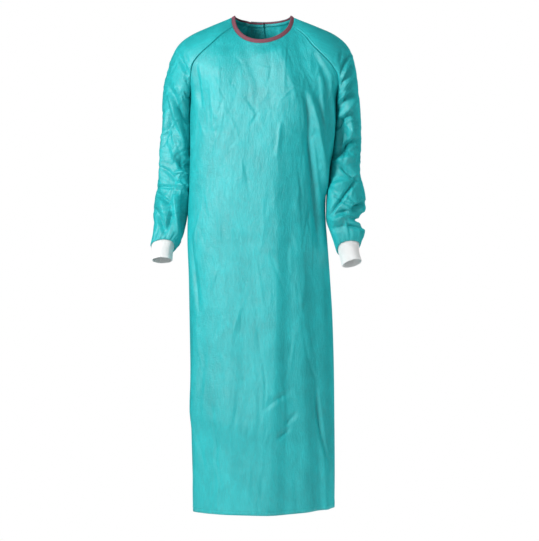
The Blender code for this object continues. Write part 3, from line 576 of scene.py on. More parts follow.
def fade_out(values, fade):
    """1 up to the fade's width before its start, and 0 from there on."""
    return ease((fade.start - values) / fade.width)


def bell(distance, width):
    """1 at no distance, and softly down to 0 past the width."""
    return np.exp(-((distance / width) ** 2))


def unit(vectors):
    return vectors / np.maximum(np.linalg.norm(vectors, axis=-1, keepdims=True), 1e-9)


def normals(grid):
    """The normal at each point of a grid whose columns, then rows, turn anticlockwise seen from outside."""
    return unit(np.cross(np.gradient(grid, axis=1), np.gradient(grid, axis=0)))


def arc(grid, axis):
    """The length along the rows (axis 1) or the columns (axis 0) of a grid, from its first point."""
    steps = np.linalg.norm(np.diff(grid, axis=axis), axis=-1)
    first = np.zeros_like(np.take(steps, [0], axis=axis))
    return np.concatenate([first, np.cumsum(steps, axis=axis)], axis=axis)


def path_lengths(points):
    """The length along a path up to each of its points."""
    return np.append(0, np.cumsum(np.linalg.norm(np.diff(points, axis=0), axis=1)))


def on_path(at, lengths, points):
    """The points at the given lengths along a path."""
    return np.stack([np.interp(at, lengths, line) for line in points.T], axis=-1)


def neck_points(neck, angles):
    """Points on one of the neck's two curves, at angles in degrees from the wearer's left shoulder point."""
    turn = np.radians(angles)
    back, front = np.maximum(np.sin(turn), 0), np.maximum(-np.sin(turn), 0)
    return np.stack(
        [
            neck.middle + neck.half_width * np.cos(turn),
            neck.back * back - neck.front * front,
            neck.point_height
            - neck.back_drop * back
            - neck.front_drop * front**NECK_FRONT_SWELL
            + neck.front_tilt * front * np.cos(turn),
        ],
        axis=-1,
    )


def seam_line(table, side, angle, shares):
    """Points at the given shares of the length along a raglan seam, from the armpit to the neck's seam."""
    points = np.stack([column(table, name) for name in (side, "depth", "height")], axis=-1)
    points = np.vstack([points, neck_points(NECK_SEAM, np.array([angle]))])
    for _ in range(SEAM_PASSES):
        lengths = path_lengths(points)
        points = smooth_path(np.linspace(0, 1, len(points) * 3), lengths / lengths[-1], points)
    lengths = path_lengths(points)
    return on_path(shares, lengths / lengths[-1], points)


FRONT_ANGLES = {"right": 180 + FRONT_RAGLAN_ANGLE, "left": -FRONT_RAGLAN_ANGLE}
BACK_ANGLES = {"right": 180 - BACK_RAGLAN_ANGLE, "left": BACK_RAGLAN_ANGLE}


def front_seam(side, shares):
    """The raglan seam on the front."""
    return seam_line(FRONT_RAGLAN, side, FRONT_ANGLES[side], shares)


def back_seam(side, shares):
    """The raglan seam on the back."""
    return seam_line(BACK_RAGLAN, side, BACK_ANGLES[side], shares)


def levels():
    """The heights of the body's rows below the armpit, with rows at both edges of the waist tie."""
    low, high = TIE_HEIGHT - TIE_WIDTH / 2, TIE_HEIGHT + TIE_WIDTH / 2
    return np.concatenate(
        [
            np.linspace(HEM_HEIGHT, low, ROWS_BELOW_TIE * FINE + 1)[:-1],
            np.linspace(low, high, FINE + 1)[:-1],
            np.linspace(high, ARMPIT_HEIGHT, ROWS_ABOVE_TIE * FINE + 1)[:-1],
        ]
    )


def rises():
    """The body's rows above the armpit, as shares of the way to the neck's seam."""
    return np.linspace(0, 1, ABOVE + 1)


BELOW = len(levels())
BODY_ROWS = BELOW + len(rises())
TIE_ROWS = slice(ROWS_BELOW_TIE * FINE, (ROWS_BELOW_TIE + 1) * FINE + 1)


def every_row(shares):
    """The same shares across for each of the body's rows."""
    return np.tile(shares, (BODY_ROWS, 1))


def eased_armpit(grid, across):
    """The body's rows with the change of form at the armpit's level softened between the side seams."""
    near = bell(np.arange(BODY_ROWS) - BELOW, ARMPIT_ROWS)[:, None] * side_mask(across, ARMPIT_MARGIN)
    for _ in range(ARMPIT_PASSES):
        mean = grid.copy()
        mean[1:-1] = (grid[:-2] + grid[2:]) / 2
        grid = grid + (mean - grid) * near[..., None]
    return grid


def body_rows(across, is_front):
    """The skin of the front or the back, from hem to neck, at the shares across in each row."""
    front, back = ("front", front_seam, FRONT_ANGLES), ("back", back_seam, BACK_ANGLES)
    side, seam, angles = front if is_front else back
    heights, rise = levels(), rises()
    at = {name: smooth(heights, column(BODY, "height"), column(BODY, name)) for name in Section._fields}
    rights = np.vstack([np.stack([at["right"], at["seam"], heights], axis=-1), seam("right", rise)])
    lefts = np.vstack([np.stack([at["left"], at["seam"], heights], axis=-1), seam("left", rise)])
    middle = {
        name: smooth(rise, column(CHEST, "share"), column(CHEST, f"{side}_{name}"))
        for name in ("depth", "height", "square")
    }
    mean = (rights + lefts)[BELOW:] / 2
    depths = np.append(at[side] - at["seam"], middle["depth"] - mean[:, 1])
    drops = np.append(0 * heights, mean[:, 2] - middle["height"])
    squares = np.append(at["square"], middle["square"])
    lifts = ease((rights[:, 2] - ARMPIT_HEIGHT) / (HEM_HEIGHT - ARMPIT_HEIGHT)) * HEM_LIFT_LEFT
    turn = np.pi * across
    along = (1 - np.cos(turn)) / 2

    def spread(rows):
        swell = np.sin(turn) ** squares[rows, None]
        grid = rights[rows, None] + (lefts - rights)[rows, None] * along[..., None]
        grid[..., 1] += depths[rows, None] * swell
        grid[..., 2] += lifts[rows, None] * ease(2 * along - 1) - drops[rows, None] * swell
        return grid

    end = angles["left"] + (360 if is_front else 0)
    neck = neck_points(NECK_SEAM, angles["right"] + (end - angles["right"]) * across)
    fade = np.append(0 * heights, rise**NECK_BLEND)
    every, last = np.arange(BODY_ROWS), np.full(BODY_ROWS, BODY_ROWS - 1)
    grid = spread(every) + fade[:, None, None] * (neck - spread(last))
    return eased_armpit(grid, across)


def sleeve_stages(below, above):
    """The stages of a sleeve's rows, so many of them below and above the armpit."""
    return np.concatenate([np.linspace(0, 1, above + 1), np.linspace(1, 2, below + 1)[1:]])


def sleeve_rows(side, columns, below, above):
    """The skin of a sleeve, from the neck's seam over the shoulder and down to the cuff."""
    outer, inner = ARMS[side].outer, ARMS[side].inner
    stages = sleeve_stages(below, above)
    around = np.linspace(0, 1, columns + 1)
    out = smooth_path(stages, column(outer, "stage"), places(outer))
    fullness = smooth(stages, column(outer, "stage"), column(outer, "fullness"))
    low = stages[above + 1 :]
    inside = smooth_path(low, column(inner, "stage"), places(inner))
    lean = np.radians(smooth(low, column(inner, "stage"), column(inner, "lean")))
    lean = np.append(np.zeros(above + 1), lean)
    rise = 1 - stages[: above + 1]
    fronts = np.vstack([front_seam(side, rise), inside])
    backs = np.vstack([back_seam(side, rise), inside])
    fronts[above] = backs[above] = places(inner)[0]
    forward = np.stack([0 * lean, -np.cos(lean), np.sin(lean)], axis=-1)
    middle, half = (fronts + backs) / 2, (fronts - backs) / 2
    flatter = 2 + SLEEVE_FLATTER * fade_in(stages, SLEEVE_FLATTER_FADE)[:, None]
    reach = np.sin(np.pi * around)[None, :] ** flatter
    grid = (
        middle[:, None]
        + (out - middle)[:, None] * reach[..., None]
        + half[:, None] * np.cos(np.pi * around)[None, :, None]
        + (fullness[:, None] * forward)[:, None] * np.sin(2 * np.pi * around)[None, :, None]
    )
    start, end = FRONT_ANGLES[side], BACK_ANGLES[side]
    neck = neck_points(NECK_SEAM, start + (end - start) * around)
    fade = np.clip(1 - stages, 0, 1) ** NECK_BLEND
    return grid + fade[:, None, None] * (neck - grid[0])


def sleeve_normals(grid, side, above):
    """The sleeve's normals outwards. Its first and last columns are one line below the armpit."""
    outward = normals(grid) * ARMS[side].turn
    outward[above:, 0] = outward[above:, -1] = unit(outward[above:, 0] + outward[above:, -1])
    return outward


# Folds, creases and swells

def fold_height(x, z, fold, shift=0.0):
    """How far one fold lifts the cloth at the points (x, z), seen from the front."""
    run = np.array([fold.x1 - fold.x0, fold.z1 - fold.z0], float)
    length = np.linalg.norm(run)
    ahead = run / length
    aside = np.array([-ahead[1], ahead[0]]) * (1 if ahead[1] < 0 else -1)
    dx, dz = x - fold.x0, z - (fold.z0 + shift)
    inside = np.clip((dx * ahead[0] + dz * ahead[1]) / length, 0, 1)
    across = dx * aside[0] + dz * aside[1] - fold.bow * 4 * inside * (1 - inside)
    q = np.clip(np.abs(across) / np.where(across < 0, fold.right, fold.left), 0, 1)
    soft = np.cos(np.pi * q / 2) ** 2
    sharp = (1 - q) ** FOLD_SHARPNESS
    ends = np.sin(np.pi * inside) ** FOLD_ENDS
    return fold.height * ends * ((1 - fold.edge) * soft + fold.edge * sharp)


def scattered(creases):
    """Small folds spread over an area, each with its own place, length, lean and height."""
    draw = np.random.default_rng(creases.seed)
    folds = []
    for _ in range(creases.count):
        x, z = draw.uniform(*creases.x), draw.uniform(*creases.z)
        lean = np.radians(draw.normal(0, creases.lean))
        length = draw.uniform(*creases.length)
        dx, dz = np.sin(lean) * length / 2, np.cos(lean) * length / 2
        width = draw.uniform(*creases.width)
        height = creases.height * draw.uniform(CREASE_LOWEST, 1.0) * draw.choice([-1, 1])
        bow = draw.uniform(-CREASE_BOW, CREASE_BOW) * length
        far_side = width * CREASE_FAR_SIDE
        folds.append(Fold(x + dx, z + dz, x - dx, z - dz, bow, width, far_side, height, CREASE_EDGE))
    return tuple(folds)


def crisped(folds, crisp):
    """The folds made deeper and sharper."""
    return tuple(
        fold._replace(height=fold.height * crisp.depth, edge=fold.edge + (1 - fold.edge) * crisp.edge)
        for fold in folds
    )


def lifted(grid, folds, shift=0.0):
    """The sum of the folds' heights at the points of a grid."""
    return sum(fold_height(grid[..., 0], grid[..., 2], fold, shift) for fold in folds)


def soft_noise(u, v, seed):
    """Smooth seeded noise from -1 to 1, with one swell for each unit of u and v."""
    table = np.random.default_rng(seed).uniform(-1, 1, (NOISE_SIZE, NOISE_SIZE))
    i, j = np.floor(u).astype(int), np.floor(v).astype(int)
    a, b = ease(u - i), ease(v - j)
    near, far = i % NOISE_SIZE, (i + 1) % NOISE_SIZE
    low, high = j % NOISE_SIZE, (j + 1) % NOISE_SIZE
    below = table[near, low] * (1 - a) + table[far, low] * a
    above = table[near, high] * (1 - a) + table[far, high] * a
    return below * (1 - b) + above * b


def swelling(u, v, swells):
    """The sum of the swells at the cloth's own lengths u across and v along it."""
    total = 0
    for swell in swells:
        broad_u, broad_v = u / (swell.across * WANDER_ACROSS), v / (swell.along * WANDER_ALONG)
        wander = soft_noise(broad_u, broad_v, swell.seed + WANDER_SEED)
        n = soft_noise((u + v * swell.lean) / swell.across + wander, v / swell.along + wander, swell.seed)
        total = total + swell.height * ((0.5 - 2 * np.abs(n)) if swell.ridged else n)
    return total


def packing_lines(grid):
    """The fine creases left by packing, on the front."""
    x, z = grid[..., 0], grid[..., 2]
    down = bell(x - PACKING_LINE_X, PACKING_WIDTH) * ease((z - PACKING_LINE_END) / PACKING_LINE_FADE)
    over = sum(bell(z - at, PACKING_WIDTH * 2) for at in PACKING_LINES_Z)
    return PACKING_HEIGHT * (over * PACKING_CROSS_SHARE - down)


def seam_roll(distance):
    """The cloth turned in at a seam, and the soft roll beside it."""
    return ROLL_HEIGHT * bell(distance - ROLL_AT, ROLL_WIDTH) - SEAM_DEPTH * bell(distance, SEAM_WIDTH)


def turned_hem(height):
    """The hem's second layer, up to where it is stitched down."""
    return HEM_THICKNESS * ease((2 * HEM_TURN - height) / HEM_TURN)


def panel_edges(u, width, v):
    """What the side seams, the neck's seam and the hem add at the lengths u across and v up a panel."""
    return seam_roll(u) + seam_roll(width - u) + seam_roll(v[-1:] - v) + turned_hem(v)


def side_mask(across, margin):
    """0 at both ends of a row and 1 away from them."""
    return ease(np.minimum(across, 1 - across) / margin)


def top_mask(fade):
    """1 from the hem up to the fade's start, and 0 at the neck's seam."""
    return np.append(np.ones(BELOW), 1 - fade_in(rises(), fade))[:, None]


def front_skin():
    """The front's outer skin with its folds, seams and hem, and its normals outwards."""
    across = every_row(np.linspace(0, 1, FRONT_COLUMNS + 1))
    grid = body_rows(across, True)
    outward = normals(grid)
    u, v = arc(grid, 1), arc(grid, 0)
    mask = side_mask(across, FRONT_MARGIN) * top_mask(NECK_FADE)
    folds = crisped(FRONT_FOLDS, FRONT_CRISP) + scattered(FRONT_CREASES) + scattered(CHEST_CREASES)
    lift = (lifted(grid, folds) + swelling(u - u[:, [FRONT_COLUMNS // 2]], v, PANEL_SWELLS)) * mask
    lift += packing_lines(grid) * mask
    lift += panel_edges(u, u[:, -1:], v)
    return grid + outward * lift[..., None], outward


def back_edges():
    """The free edges of the outer and the under back, as shares across in each row."""
    heights = np.append(levels(), smooth(rises(), column(CHEST, "share"), column(CHEST, "back_height")))
    knots = column(BACK_EDGES, "height")
    return [smooth(heights, knots, column(BACK_EDGES, name)) for name in ("outer", "under")]


def back_skin(across, seamed=True):
    """The back's outer skin at the shares across in each row, with its normals outwards."""
    grid = body_rows(across, False)
    outward = normals(grid) * (-1 if across[0, -1] > across[0, 0] else 1)
    fine = every_row(np.linspace(0, 1, BACK_COLUMNS_MEASURED + 1))
    lengths = arc(body_rows(fine, False), 1)
    u = np.array([np.interp(a, f, l) for a, f, l in zip(across, fine, lengths)])
    v = arc(grid, 0)
    mask = side_mask(across, BACK_MARGIN) * top_mask(BACK_NECK_FADE)
    folds = crisped(BACK_FOLDS, BACK_CRISP) + scattered(BACK_CREASES)
    lift = (lifted(grid, folds) + swelling(u + BACK_SWELLS_FROM, v, PANEL_SWELLS)) * mask
    if seamed:
        lift += panel_edges(u, lengths[:, -1:], v)
    return grid + outward * lift[..., None], outward


def lap_inset(across, outer_edge):
    """How far the under back lies inside the skin: not at its side seam, and fully under the outer back."""
    return BACK_LAP_DEPTH * ease((across - (outer_edge - LAP_TURN)) / (LAP_TURN * LAP_TURN_USED))


def back_panels():
    """The outer back, from the left side seam, and the under back, from the right one."""
    outer_edge, under_edge = back_edges()
    outer_at = 1 - (1 - outer_edge)[:, None] * np.linspace(0, 1, OUTER_BACK_COLUMNS + 1)
    under_at = under_edge[:, None] * np.linspace(0, 1, UNDER_BACK_COLUMNS + 1)
    outer, outer_out = back_skin(outer_at)
    under, under_out = back_skin(under_at)
    under = under - under_out * lap_inset(under_at, outer_edge[:, None])[..., None]
    return outer, outer_out, under, under_out


def sleeve_skin(side):
    """A sleeve's outer skin with its folds, gathers and seams, and its normals outwards."""
    arm, below = ARMS[side], SLEEVE_ROWS_BELOW * FINE
    grid = sleeve_rows(side, SLEEVE_COLUMNS, below, ABOVE)
    outward = sleeve_normals(grid, side, ABOVE)
    around = np.tile(np.linspace(0, 1, SLEEVE_COLUMNS + 1), (len(grid), 1))
    stages = sleeve_stages(below, ABOVE)[:, None]
    along = fade_in(stages, SLEEVE_TOP_FADE) * fade_out(stages, SLEEVE_END_FADE)
    in_front, behind = fade_out(around, SLEEVE_FRONT_FADE), fade_in(around, SLEEVE_BACK_FADE)
    folds = crisped(arm.folds, SLEEVE_CRISP) + scattered(arm.creases)
    lift = lifted(grid, folds) * in_front + lifted(grid, folds, BEHIND_SHIFT) * BEHIND_SHARE * behind
    from_arm = np.minimum(around, 1 - around)
    hollow, raised = fade_in(from_arm, UNDERARM_HOLLOW_FADE), fade_in(from_arm, UNDERARM_FADE)
    lift *= along * np.where(lift < 0, hollow, raised)
    u, v = arc(grid, 1), arc(grid, 0)
    lift += swelling(u + arm.swells_from, v, SLEEVE_SWELLS) * along * side_mask(around, SLEEVE_MARGIN)
    to_end = v[-1:] - v
    pleats = sum(np.cos(2 * np.pi * count * around + start) for count, start in GATHERS) / len(GATHERS)
    gathers = np.exp(-((to_end / GATHER_LENGTH) ** GATHER_FADE))
    lift += GATHER_HEIGHT * (GATHER_FULLNESS + pleats) * gathers
    lift -= (CAD_WALL + CAD_GAP - CLOTH) * bell(to_end, SLEEVE_END_LENGTH)
    lift += seam_roll(u) + seam_roll(u[:, -1:] - u) + seam_roll(v)
    grid = grid + outward * lift[..., None]
    grid[ABOVE:, 0] = grid[ABOVE:, -1] = (grid[ABOVE:, 0] + grid[ABOVE:, -1]) / 2
    return grid, outward


# Meshes

def mesh_of(name, points, faces, uvs=None):
    """A smooth mesh in metres, from points in millimetres, faces, and the cloth's lengths at the corners."""
    mesh = bpy.data.meshes.new(name)
    mesh.from_pydata((np.asarray(points) * MM).tolist(), [], [list(map(int, f)) for f in faces])
    if uvs is not None:
        layer = mesh.uv_layers.new(name="cloth")
        layer.data.foreach_set("uv", (np.asarray(uvs) * MM).astype(np.float32).ravel())
    mesh.shade_smooth()
    return mesh


def grid_mesh(name, grid, flip, joined_from=None, closed_section=False):
    """A mesh of a grid's quads. From the row joined_from on, the last column is the first one, and a closed
    section's last row is its first one. Flip turns the faces over."""
    rows, columns = grid.shape[:2]
    index = np.arange(rows * columns).reshape(rows, columns)
    if joined_from is not None:
        index[joined_from:, -1] = index[joined_from:, 0]
    if closed_section:
        index[-1] = index[0]
    used, new = np.unique(index, return_inverse=True)
    index = new.reshape(rows, columns)
    low, high = slice(None, -1), slice(1, None)
    corners = ((low, low), (low, high), (high, high), (high, low))
    if flip:
        corners = corners[::-1]
    faces = np.stack([index[c].ravel() for c in corners], axis=1)
    lengths = np.stack([arc(grid, 1), arc(grid, 0)], axis=-1)
    lengths[..., 0] -= lengths[:, [columns // 2], 0]
    uvs = np.stack([lengths[c].reshape(-1, 2) for c in corners], axis=1)
    return mesh_of(name, grid.reshape(-1, 3)[used], faces, uvs.reshape(-1, 2))


def piece(name, mesh, material, nodes=()):
    """An object of the gown: it rides on the one body, and stands for the solids that it replaces."""
    obj = bpy.data.objects.new(name, mesh)
    bpy.context.scene.collection.objects.link(obj)
    obj.data.materials.append(material)
    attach(obj, "root")
    if nodes:
        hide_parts(*nodes)
    return obj


def thicken(obj, thickness, offset=-1.0):
    """Gives a skin its cloth's thickness, inwards or, at offset 0, to both sides."""
    solid = obj.modifiers.new("Cloth thickness", "SOLIDIFY")
    solid.thickness = thickness * MM
    solid.offset = offset


def cloth(name, grid, flip, material, node, thickness=CLOTH, joined_from=None):
    """A piece of nonwoven from its grid: a thin shell."""
    obj = piece(name, grid_mesh(name, grid, flip, joined_from), material, (node,))
    thicken(obj, thickness)


class Threads:
    """Stitches that are gathered into one mesh."""

    def __init__(self):
        self.points = []
        self.faces = []

    def grain(self, middle, ahead, outward, sewing):
        """One stitch: a short thread, thick in the middle and pulled down at its ends."""
        aside = np.cross(ahead, outward)
        turn = np.linspace(0, 2 * np.pi, STITCH_SIDES, endpoint=False)
        circle = np.cos(turn)[:, None] * aside + np.sin(turn)[:, None] * outward
        rings = []
        for ring in STITCH_RINGS:
            first = len(self.points) * STITCH_SIDES
            rings.append(range(first, first + STITCH_SIDES))
            centre = middle + ahead * ring.share * sewing.length / 2 + outward * ring.out * sewing.radius
            self.points.append(centre + circle * sewing.radius * ring.size)
        for low, high in zip(rings, rings[1:]):
            self.faces += [(low[k - 1], low[k], high[k], high[k - 1]) for k in range(STITCH_SIDES)]
        self.faces += [tuple(reversed(rings[0])), tuple(rings[-1])]

    def row(self, path, outward, sewing, seed, proud=STITCH_PROUD):
        """Stitches at an even pitch along a path on the cloth."""
        lengths = path_lengths(path)
        draw = np.random.default_rng(seed)
        at = np.arange(sewing.pitch, lengths[-1] - sewing.pitch, sewing.pitch)
        at = at + draw.uniform(-STITCH_SLIP, STITCH_SLIP, len(at)) * sewing.pitch
        middle = on_path(at, lengths, path)
        ahead = on_path(at + 0.5, lengths, path) - middle
        out = unit(on_path(at, lengths, outward))
        ahead = unit(ahead - out * np.sum(ahead * out, axis=-1, keepdims=True))
        for m, a, o in zip(middle + out * proud, ahead, out):
            self.grain(m, a, o, sewing)

    def mesh(self, name):
        return mesh_of(name, np.vstack(self.points), self.faces)


def beside(grid, outward, distance, from_last=False):
    """A line on the cloth at a distance in from its first or last column, with its normals."""
    if from_last:
        grid, outward = grid[:, ::-1], outward[:, ::-1]
    lengths = arc(grid, 1)
    line = [on_path(distance, row, points) for row, points in zip(lengths, grid)]
    out = [on_path(distance, row, points) for row, points in zip(lengths, outward)]
    return np.array(line), np.array(out)


def hem_line(grid, outward):
    """The line that the hem is stitched down on, with its normals."""
    return beside(grid.transpose(1, 0, 2), outward.transpose(1, 0, 2), HEM_TURN)


# Shader groups

def new_group(name, inputs, outputs):
    """An empty shader node group with named sockets. Each is (name, kind, default)."""
    group = bpy.data.node_groups.new(name, "ShaderNodeTree")
    for label, kind, value in inputs:
        socket = group.interface.new_socket(name=label, in_out="INPUT", socket_type=f"NodeSocket{kind}")
        if value is not None:
            socket.default_value = value
    for label, kind in outputs:
        group.interface.new_socket(name=label, in_out="OUTPUT", socket_type=f"NodeSocket{kind}")
    return group


class Nodes:
    """Adds nodes to a tree, each with its settings, values and links."""

    def __init__(self, tree):
        self.tree = tree

    def add(self, kind, values=(), links=(), **settings):
        node = self.tree.nodes.new(kind)
        for key, value in settings.items():
            setattr(node, key, value)
        for key, value in dict(values).items():
            node.inputs[key].default_value = value
        for key, source in dict(links).items():
            self.tree.links.new(source, node.inputs[key])
        return node

    def math(self, operation, *values):
        """A math node of numbers and of other nodes' outputs."""
        node = self.add("ShaderNodeMath", operation=operation)
        for socket, value in zip(node.inputs, values):
            if isinstance(value, float):
                socket.default_value = value
            else:
                self.tree.links.new(value, socket)
        return node.outputs[0]

    def total(self, *values):
        """The sum of two or more values."""
        result = values[0]
        for value in values[1:]:
            result = self.math("ADD", result, value)
        return result

    def times(self, first, second):
        return self.math("MULTIPLY", first, second)

    def off_middle(self, value):
        """How far a value is from one half."""
        return self.math("ABSOLUTE", self.math("SUBTRACT", value, 0.5))

    def noise(self, vector, scale, detail=2.0, roughness=0.5, distortion=0.0):
        values = {"Scale": scale, "Detail": detail, "Roughness": roughness, "Distortion": distortion}
        return self.add("ShaderNodeTexNoise", values, {"Vector": vector}).outputs["Fac"]

    def stretch(self, vector, scale, turn=0.0):
        """A vector scaled along its own axes and turned in the cloth."""
        values = {"Scale": scale, "Rotation": (0, 0, turn)}
        return self.add("ShaderNodeMapping", values, {"Vector": vector}).outputs["Vector"]

    def spread(self, value, low, high, to_low=0.0, to_high=1.0):
        """A value from one range brought to another."""
        values = {"From Min": low, "From Max": high, "To Min": to_low, "To Max": to_high}
        return self.add("ShaderNodeMapRange", values, {"Value": value}).outputs["Result"]


def nonwoven_group():
    """Spun-bonded cloth: upright fibre streaks, soft blotches, fine crinkles and bonding points, with painted
    shade along the crinkles' lines.
    """
    group = new_group(
        "Nonwoven cloth",
        [
            ("Cloth", "Vector", None),
            ("Streaks", "Float", 1.0),
            ("Blotches", "Float", 1.0),
            ("Crinkles", "Float", 1.0),
            ("Bond pitch", "Float", 0.0016),
        ],
        [("Tone", "Float"), ("Roughness", "Float"), ("Height", "Float")],
    )
    n = Nodes(group)
    given = n.add("NodeGroupInput").outputs
    cloth_at = given["Cloth"]
    streak = n.noise(n.stretch(cloth_at, (1.0, 0.09, 1.0)), 620.0, 3.0, 0.6)
    fibre = n.noise(n.stretch(cloth_at, (1.0, 0.05, 1.0), 0.05), 1500.0, 2.0, 0.6)
    blotch = n.noise(n.stretch(cloth_at, (1.0, 0.7, 1.0)), 26.0, 4.0, 0.62, 0.6)
    cloud = n.noise(n.stretch(cloth_at, (1.0, 0.6, 1.0)), 8.0, 2.0, 0.5, 0.3)
    upright = n.noise(n.stretch(cloth_at, (1.0, 0.22, 1.0), 0.12), 120.0, 3.0, 0.65, 0.8)
    level = n.noise(n.stretch(cloth_at, (0.35, 1.0, 1.0), -0.2), 90.0, 2.0, 0.6, 0.8)
    ridge = n.spread(n.off_middle(upright), 0.0, 0.12)
    crossing = n.spread(n.off_middle(level), 0.0, 0.10)

    across = n.add("ShaderNodeSeparateXYZ", links={"Vector": cloth_at}).outputs
    turns = n.math("DIVIDE", 2 * np.pi, given["Bond pitch"])
    waves = [n.math("SINE", n.times(across[name], turns)) for name in "XY"]
    bond = n.spread(n.times(*waves), 0.25, 0.9)

    streaks = n.total(n.spread(streak, 0.3, 0.7, -0.06, 0.06), n.spread(fibre, 0.3, 0.7, -0.04, 0.04))
    blotches = n.total(n.spread(blotch, 0.3, 0.7, -0.07, 0.07), n.spread(cloud, 0.35, 0.65, -0.05, 0.05))
    # Painted shade: the colour is darkened a little along the crinkles' lines, where shade would lie in them
    painted_crease_shade = n.times(n.math("SUBTRACT", ridge, 1.0), 0.05)
    spread = n.total(n.times(streaks, given["Streaks"]), n.times(blotches, given["Blotches"]))
    tone = n.total(spread, painted_crease_shade, n.times(bond, -0.05), 1.0)
    rough = n.total(n.spread(blotch, 0.3, 0.7, 0.48, 0.56), n.times(bond, -0.10))
    crinkles = n.total(n.times(ridge, 0.35), n.times(crossing, 0.14), n.times(blotch, 0.8))
    height = n.total(
        n.times(n.spread(streak, 0.25, 0.75, 0.0, 0.10), given["Streaks"]),
        n.times(crinkles, given["Crinkles"]),
        n.times(bond, -0.10),
    )
    n.add("NodeGroupOutput", links={"Tone": tone, "Roughness": rough, "Height": height})
    return group


def fibre_group():
    """Fine fibres that run one way, for thread, tape and knit."""
    group = new_group(
        "Fine fibres",
        [("Place", "Vector", None), ("Fineness", "Float", 900.0), ("Contrast", "Float", 1.0)],
        [("Tone", "Float"), ("Height", "Float")],
    )
    n = Nodes(group)
    given = n.add("NodeGroupInput").outputs
    links = {"Vector": given["Place"], "Scale": given["Fineness"]}
    fine = n.add("ShaderNodeTexNoise", {"Detail": 3.0, "Roughness": 0.65}, links).outputs["Fac"]
    broad = n.noise(given["Place"], 60.0, 2.0)
    contrast = n.times(n.spread(fine, 0.3, 0.7, -0.10, 0.10), given["Contrast"])
    tone = n.total(contrast, n.spread(broad, 0.3, 0.7, -0.04, 0.04), 1.0)
    n.add("NodeGroupOutput", links={"Tone": tone, "Height": fine})
    return group


# Materials

class Finish:
    """A material whose own shader is set first, and whose texture comes after."""

    def __init__(self, name, colour, roughness, **constants):
        self.material = bpy.data.materials.new(name)
        self.material.use_nodes = True
        self.nodes = Nodes(self.material.node_tree)
        self.shader = self.material.node_tree.nodes["Principled BSDF"]
        self.colour = colour
        self.shader.inputs["Base Color"].default_value = (*colour, 1.0)
        self.shader.inputs["Roughness"].default_value = roughness
        for key, value in constants.items():
            self.shader.inputs[key.replace("_", " ").title().replace("Ior", "IOR")].default_value = value

    def coordinates(self, kind="UV"):
        return self.nodes.add("ShaderNodeTexCoord").outputs[kind]

    def use(self, group, place, **values):
        """The outputs of a shader group with its own values, its first input being the place on the cloth."""
        node = self.nodes.add("ShaderNodeGroup", node_tree=group)
        self.nodes.tree.links.new(place, node.inputs[0])
        for key, value in values.items():
            node.inputs[key].default_value = value
        return node.outputs

    def link(self, source, socket):
        """Feeds an output to one of the material's own shader's inputs."""
        self.nodes.tree.links.new(source, self.shader.inputs[socket])

    def tint(self, tone):
        """The base colour times a tone that changes over the surface."""
        mix = self.nodes.add("ShaderNodeVectorMath", {0: self.colour}, {"Scale": tone}, operation="SCALE")
        self.link(mix.outputs["Vector"], "Base Color")

    def bump(self, height, distance, strength):
        values = {"Distance": distance, "Strength": strength}
        bump = self.nodes.add("ShaderNodeBump", values, {"Height": height})
        self.link(bump.outputs["Normal"], "Normal")


TEAL = (0.010, 0.535, 0.56)
ROSE = (0.26, 0.078, 0.112)
WHITE = (0.88, 0.885, 0.88)

NONWOVEN = nonwoven_group()
FIBRES = fibre_group()


def teal_cloth(name, blotches=1.0, crinkles=1.0):
    """The gown's nonwoven, which lets a little light through."""
    depth = {"subsurface_weight": 0.6, "subsurface_scale": 0.002}
    finish = Finish(name, TEAL, 0.55, specular_ior_level=1.0, **depth)
    finish.shader.inputs["Subsurface Radius"].default_value = (0.3, 1.0, 1.0)
    out = finish.use(NONWOVEN, finish.coordinates(), Blotches=blotches, Crinkles=crinkles)
    # The tone holds the cloth's streaks and blotches, and the painted shade along its crinkles
    finish.tint(out["Tone"])
    finish.link(out["Roughness"], "Roughness")
    finish.bump(out["Height"], 0.0011, 0.75)
    return finish.material


def sewing_thread(name, colour):
    """Sewing thread with its fine fibres."""
    finish = Finish(name, colour, 0.6)
    out = finish.use(FIBRES, finish.coordinates("Object"), Fineness=2200.0)
    finish.tint(out["Tone"])
    finish.bump(out["Height"], 0.0001, 0.5)
    return finish.material


def rose_tape():
    """Folded tape with a close twill, drawn from its own lengths."""
    finish = Finish("Rose binding tape", ROSE, 0.7, specular_ior_level=0.6)
    n = finish.nodes
    cloth_at = finish.coordinates()
    values = {"Scale": 210.0, "Distortion": 0.6, "Detail": 1.0}
    slanted = n.stretch(cloth_at, (1, 1, 1), 0.8)
    twill = n.add("ShaderNodeTexWave", values, {"Vector": slanted}).outputs["Fac"]
    fibres = finish.use(FIBRES, cloth_at, Fineness=1400.0, Contrast=1.2)
    finish.tint(n.times(fibres["Tone"], n.spread(twill, 0.0, 1.0, 0.90, 1.06)))
    finish.bump(n.total(n.times(twill, 0.5), fibres["Height"]), 0.0002, 0.6)
    return finish.material


def white_knit():
    """Rib knit: rows of small loops along each rib, over the ribs of the mesh."""
    finish = Finish("White rib knit", WHITE, 0.85, subsurface_weight=0.8, subsurface_scale=0.003)
    finish.shader.inputs["Subsurface Radius"].default_value = (1.0, 1.0, 1.0)
    n = finish.nodes
    cloth_at = finish.coordinates()
    parts = n.add("ShaderNodeSeparateXYZ", links={"Vector": cloth_at}).outputs
    courses = n.math("SINE", n.times(parts["Y"], 4200.0))
    wales = n.math("SINE", n.total(n.times(parts["X"], 4100.0), courses))
    loops = n.total(courses, wales)
    fibres = finish.use(FIBRES, cloth_at, Fineness=1800.0, Contrast=0.4)
    finish.tint(n.times(fibres["Tone"], n.spread(loops, -2.0, 2.0, 0.95, 1.02)))
    finish.bump(n.total(n.times(loops, 0.3), fibres["Height"]), 0.0002, 0.6)
    return finish.material


